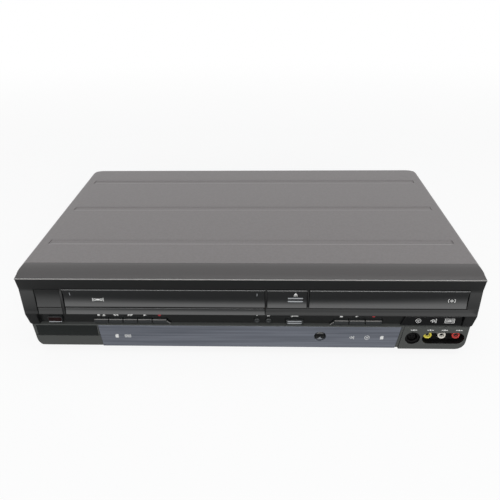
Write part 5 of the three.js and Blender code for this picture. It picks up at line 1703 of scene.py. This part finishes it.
@dataclass
class Studio:
    """The pale floor, the soft light and the camera of the photograph.

    Attributes:
        lens: The camera's focal length.
        sensor: The width of its sensor.
        clip: The nearest and farthest that it sees, in metres.
        place: The camera's place.
        yaw: Its turn to the right of +Y, in degrees.
        pitch: How far it looks down, in degrees.
        roll: Its roll, in degrees.
        even_light: The strength of the light from all round.
        floor_size: The floor's side.
        floor_squash: The share of its width that the painted shade counts.
        shade: Where the painted shade round the player on the floor starts to fade and ends, as shiny faces show it; it
            is drawn by distance, not cast by a lamp.
        shade_white: How white the floor is in that painted shade and out of it.
        foot: Where the painted pale rim at the player's foot starts to fade and ends, in front of it and behind it;
            shiny faces show it as a painted reflection.
        foot_white: How white that painted rim is.
        haze: Where the floor starts to turn white for the eye and is white.
        haze_white: How white it is for the eye at both ends.
        softboxes: The lamps.
    """

    lens: float = 36.97
    sensor: float = 36.0
    clip: Span = (0.01, 50.0)
    place: Point = (16.75, -527.0, 349.6)
    yaw: float = -2.017
    pitch: float = 29.796
    roll: float = 0.882
    even_light: float = 0.25
    floor_size: float = 30000.0
    floor_squash: Point = (0.55, 1.0, 0.0)
    shade: Span = (225.0, 350.0)
    shade_white: Span = (0.04, 0.95)
    foot: Span = (142.0, 172.0)
    foot_white: Span = (0.2, 0.0)
    haze: Span = (350.0, 1600.0)
    haze_white: Span = (0.86, 1.0)
    softboxes: tuple[Softbox, ...] = (
        Softbox("softbox_above", (0, 0, 1500), (0, 0, 50), (2000, 1400), 8.0, shines=False),
        Softbox("strip_front", (100, -680, 1270), (0, -132, 92), (1700, 120), 1.5),
        Softbox("strip_low", (0, -1300, 330), (0, -132, 92), (2000, 80), 4.0),
        Softbox("softbox_front", (200, -1500, 700), (0, -132, 50), (1000, 500), 10.0, shines=False),
    )

    def add_camera(self) -> None:
        """Aim the camera as the photograph was taken."""
        yaw, pitch, roll = (math.radians(angle) for angle in (self.yaw, self.pitch, self.roll))
        ahead = Vector((math.sin(yaw) * math.cos(pitch), math.cos(yaw) * math.cos(pitch), -math.sin(pitch)))
        right = Vector((math.cos(yaw), -math.sin(yaw), 0))
        down = ahead.cross(right)
        level_right = right * math.cos(roll) + down * math.sin(roll)
        level_down = down * math.cos(roll) - right * math.sin(roll)
        data = bpy.data.cameras.new("photograph")
        data.lens = self.lens
        data.sensor_width = self.sensor
        data.clip_start, data.clip_end = self.clip
        camera = bpy.data.objects.new("photograph", data)
        bpy.context.scene.collection.objects.link(camera)
        columns = Matrix((level_right, -level_down, -ahead)).transposed()
        camera.matrix_world = Matrix.Translation(Vector(self.place) * MM) @ columns.to_4x4()
        bpy.context.scene.camera = camera

    def shares(self, tree: Tree, eye: float | Socket, mirror: float | Socket) -> Socket:
        """Return the white share that a ray sees.

        Args:
            tree: The node tree.
            eye: The share for a ray from the camera.
            mirror: The share for a ray from a shiny or clear surface.

        Returns:
            The share, which is zero for the rays that light the object.
        """
        path = add_node(tree, "ShaderNodeLightPath").outputs
        shiny = calculate(tree, "MAXIMUM", path["Is Glossy Ray"], path["Is Transmission Ray"])
        return calculate(tree, "MULTIPLY_ADD", path["Is Camera Ray"], eye, calculate(tree, "MULTIPLY", shiny, mirror))

    def mix(self, tree: Tree, kind: str, share: Socket, plain: Socket, white: Socket) -> None:
        """Mix a plain shader with a white one by a share, and end the tree with an output of some kind."""
        mixed = add_node(tree, "ShaderNodeMixShader", {0: share, 1: plain, 2: white})
        add_node(tree, kind, {"Surface": mixed.outputs[0]})

    def add_world(self) -> None:
        """Surround the player with white for the eye and a faint even light for its surfaces."""
        world = bpy.data.worlds.new("studio")
        bpy.context.scene.world = world
        tree = clear_nodes(world)
        light, white = (
            add_node(tree, "ShaderNodeBackground", {"Color": linear(colour), "Strength": strength}).outputs[0]
            for colour, strength in (("#eef1f4", self.even_light), ("#ffffff", 1.0))
        )
        self.mix(tree, "ShaderNodeOutputWorld", self.shares(tree, 1.0, 1.0), light, white)

    def add_floor(self) -> None:
        """Lay the floor: pale paper that keeps a soft shadow and looks white to the eye."""
        deselect()
        bpy.ops.mesh.primitive_plane_add(size=self.floor_size * MM, location=(0, 0, FLOOR_DROP))
        floor = settle(bpy.context.object, "studio_floor")
        paper = bpy.data.materials.new("pale_paper")
        tree = clear_nodes(paper)
        place = add_node(tree, "ShaderNodeTexCoord").outputs["Object"]
        flat = add_node(tree, "ShaderNodeMapping", {"Vector": place, "Scale": self.floor_squash}).outputs[0]
        away = add_node(tree, "ShaderNodeVectorMath", {0: flat}, operation="LENGTH").outputs["Value"]
        depth = add_node(tree, "ShaderNodeSeparateXYZ", {"Vector": place}).outputs["Y"]
        # Shiny faces see a painted shade round the player, drawn by distance, and a painted pale rim at its foot.
        shade, foot, haze = (Vector(span) * MM for span in (self.shade, self.foot, self.haze))
        rim = map_range(tree, calculate(tree, "ABSOLUTE", depth), foot, self.foot_white)
        lit = calculate(tree, "MAXIMUM", map_range(tree, away, shade, self.shade_white, "SMOOTHSTEP"), rim)
        horizon = map_range(tree, away, haze, self.haze_white, "SMOOTHSTEP")
        share = self.shares(tree, 1.0, 0.0)
        tones = {0: share, FIRST_COLOUR: linear("#787878"), SECOND_COLOUR: linear("#f4f4f4")}
        tone = add_node(tree, "ShaderNodeMix", tones, data_type="RGBA").outputs[2]
        matte = add_node(tree, "ShaderNodeBsdfDiffuse", {"Color": tone, "Roughness": 1.0}).outputs[0]
        bright = add_node(tree, "ShaderNodeEmission", {"Color": linear("#ffffff"), "Strength": 1.0}).outputs[0]
        self.mix(tree, "ShaderNodeOutputMaterial", self.shares(tree, horizon, lit), matte, bright)
        floor.data.materials.append(paper)

    def build(self) -> None:
        """Build the studio."""
        self.add_camera()
        self.add_world()
        self.add_floor()
        for softbox in self.softboxes:
            softbox.hang()
        bpy.context.scene.view_settings.view_transform = "Standard"


def main() -> None:
    """Build the studio and the player."""
    logging.basicConfig(level=logging.INFO, format="%(name)s: %(message)s")
    for assembly in (Studio(), Cabinet(), FrontPanel(), Rear(), Inside()):
        assembly.build()


if __name__ == "__main__":
    main()
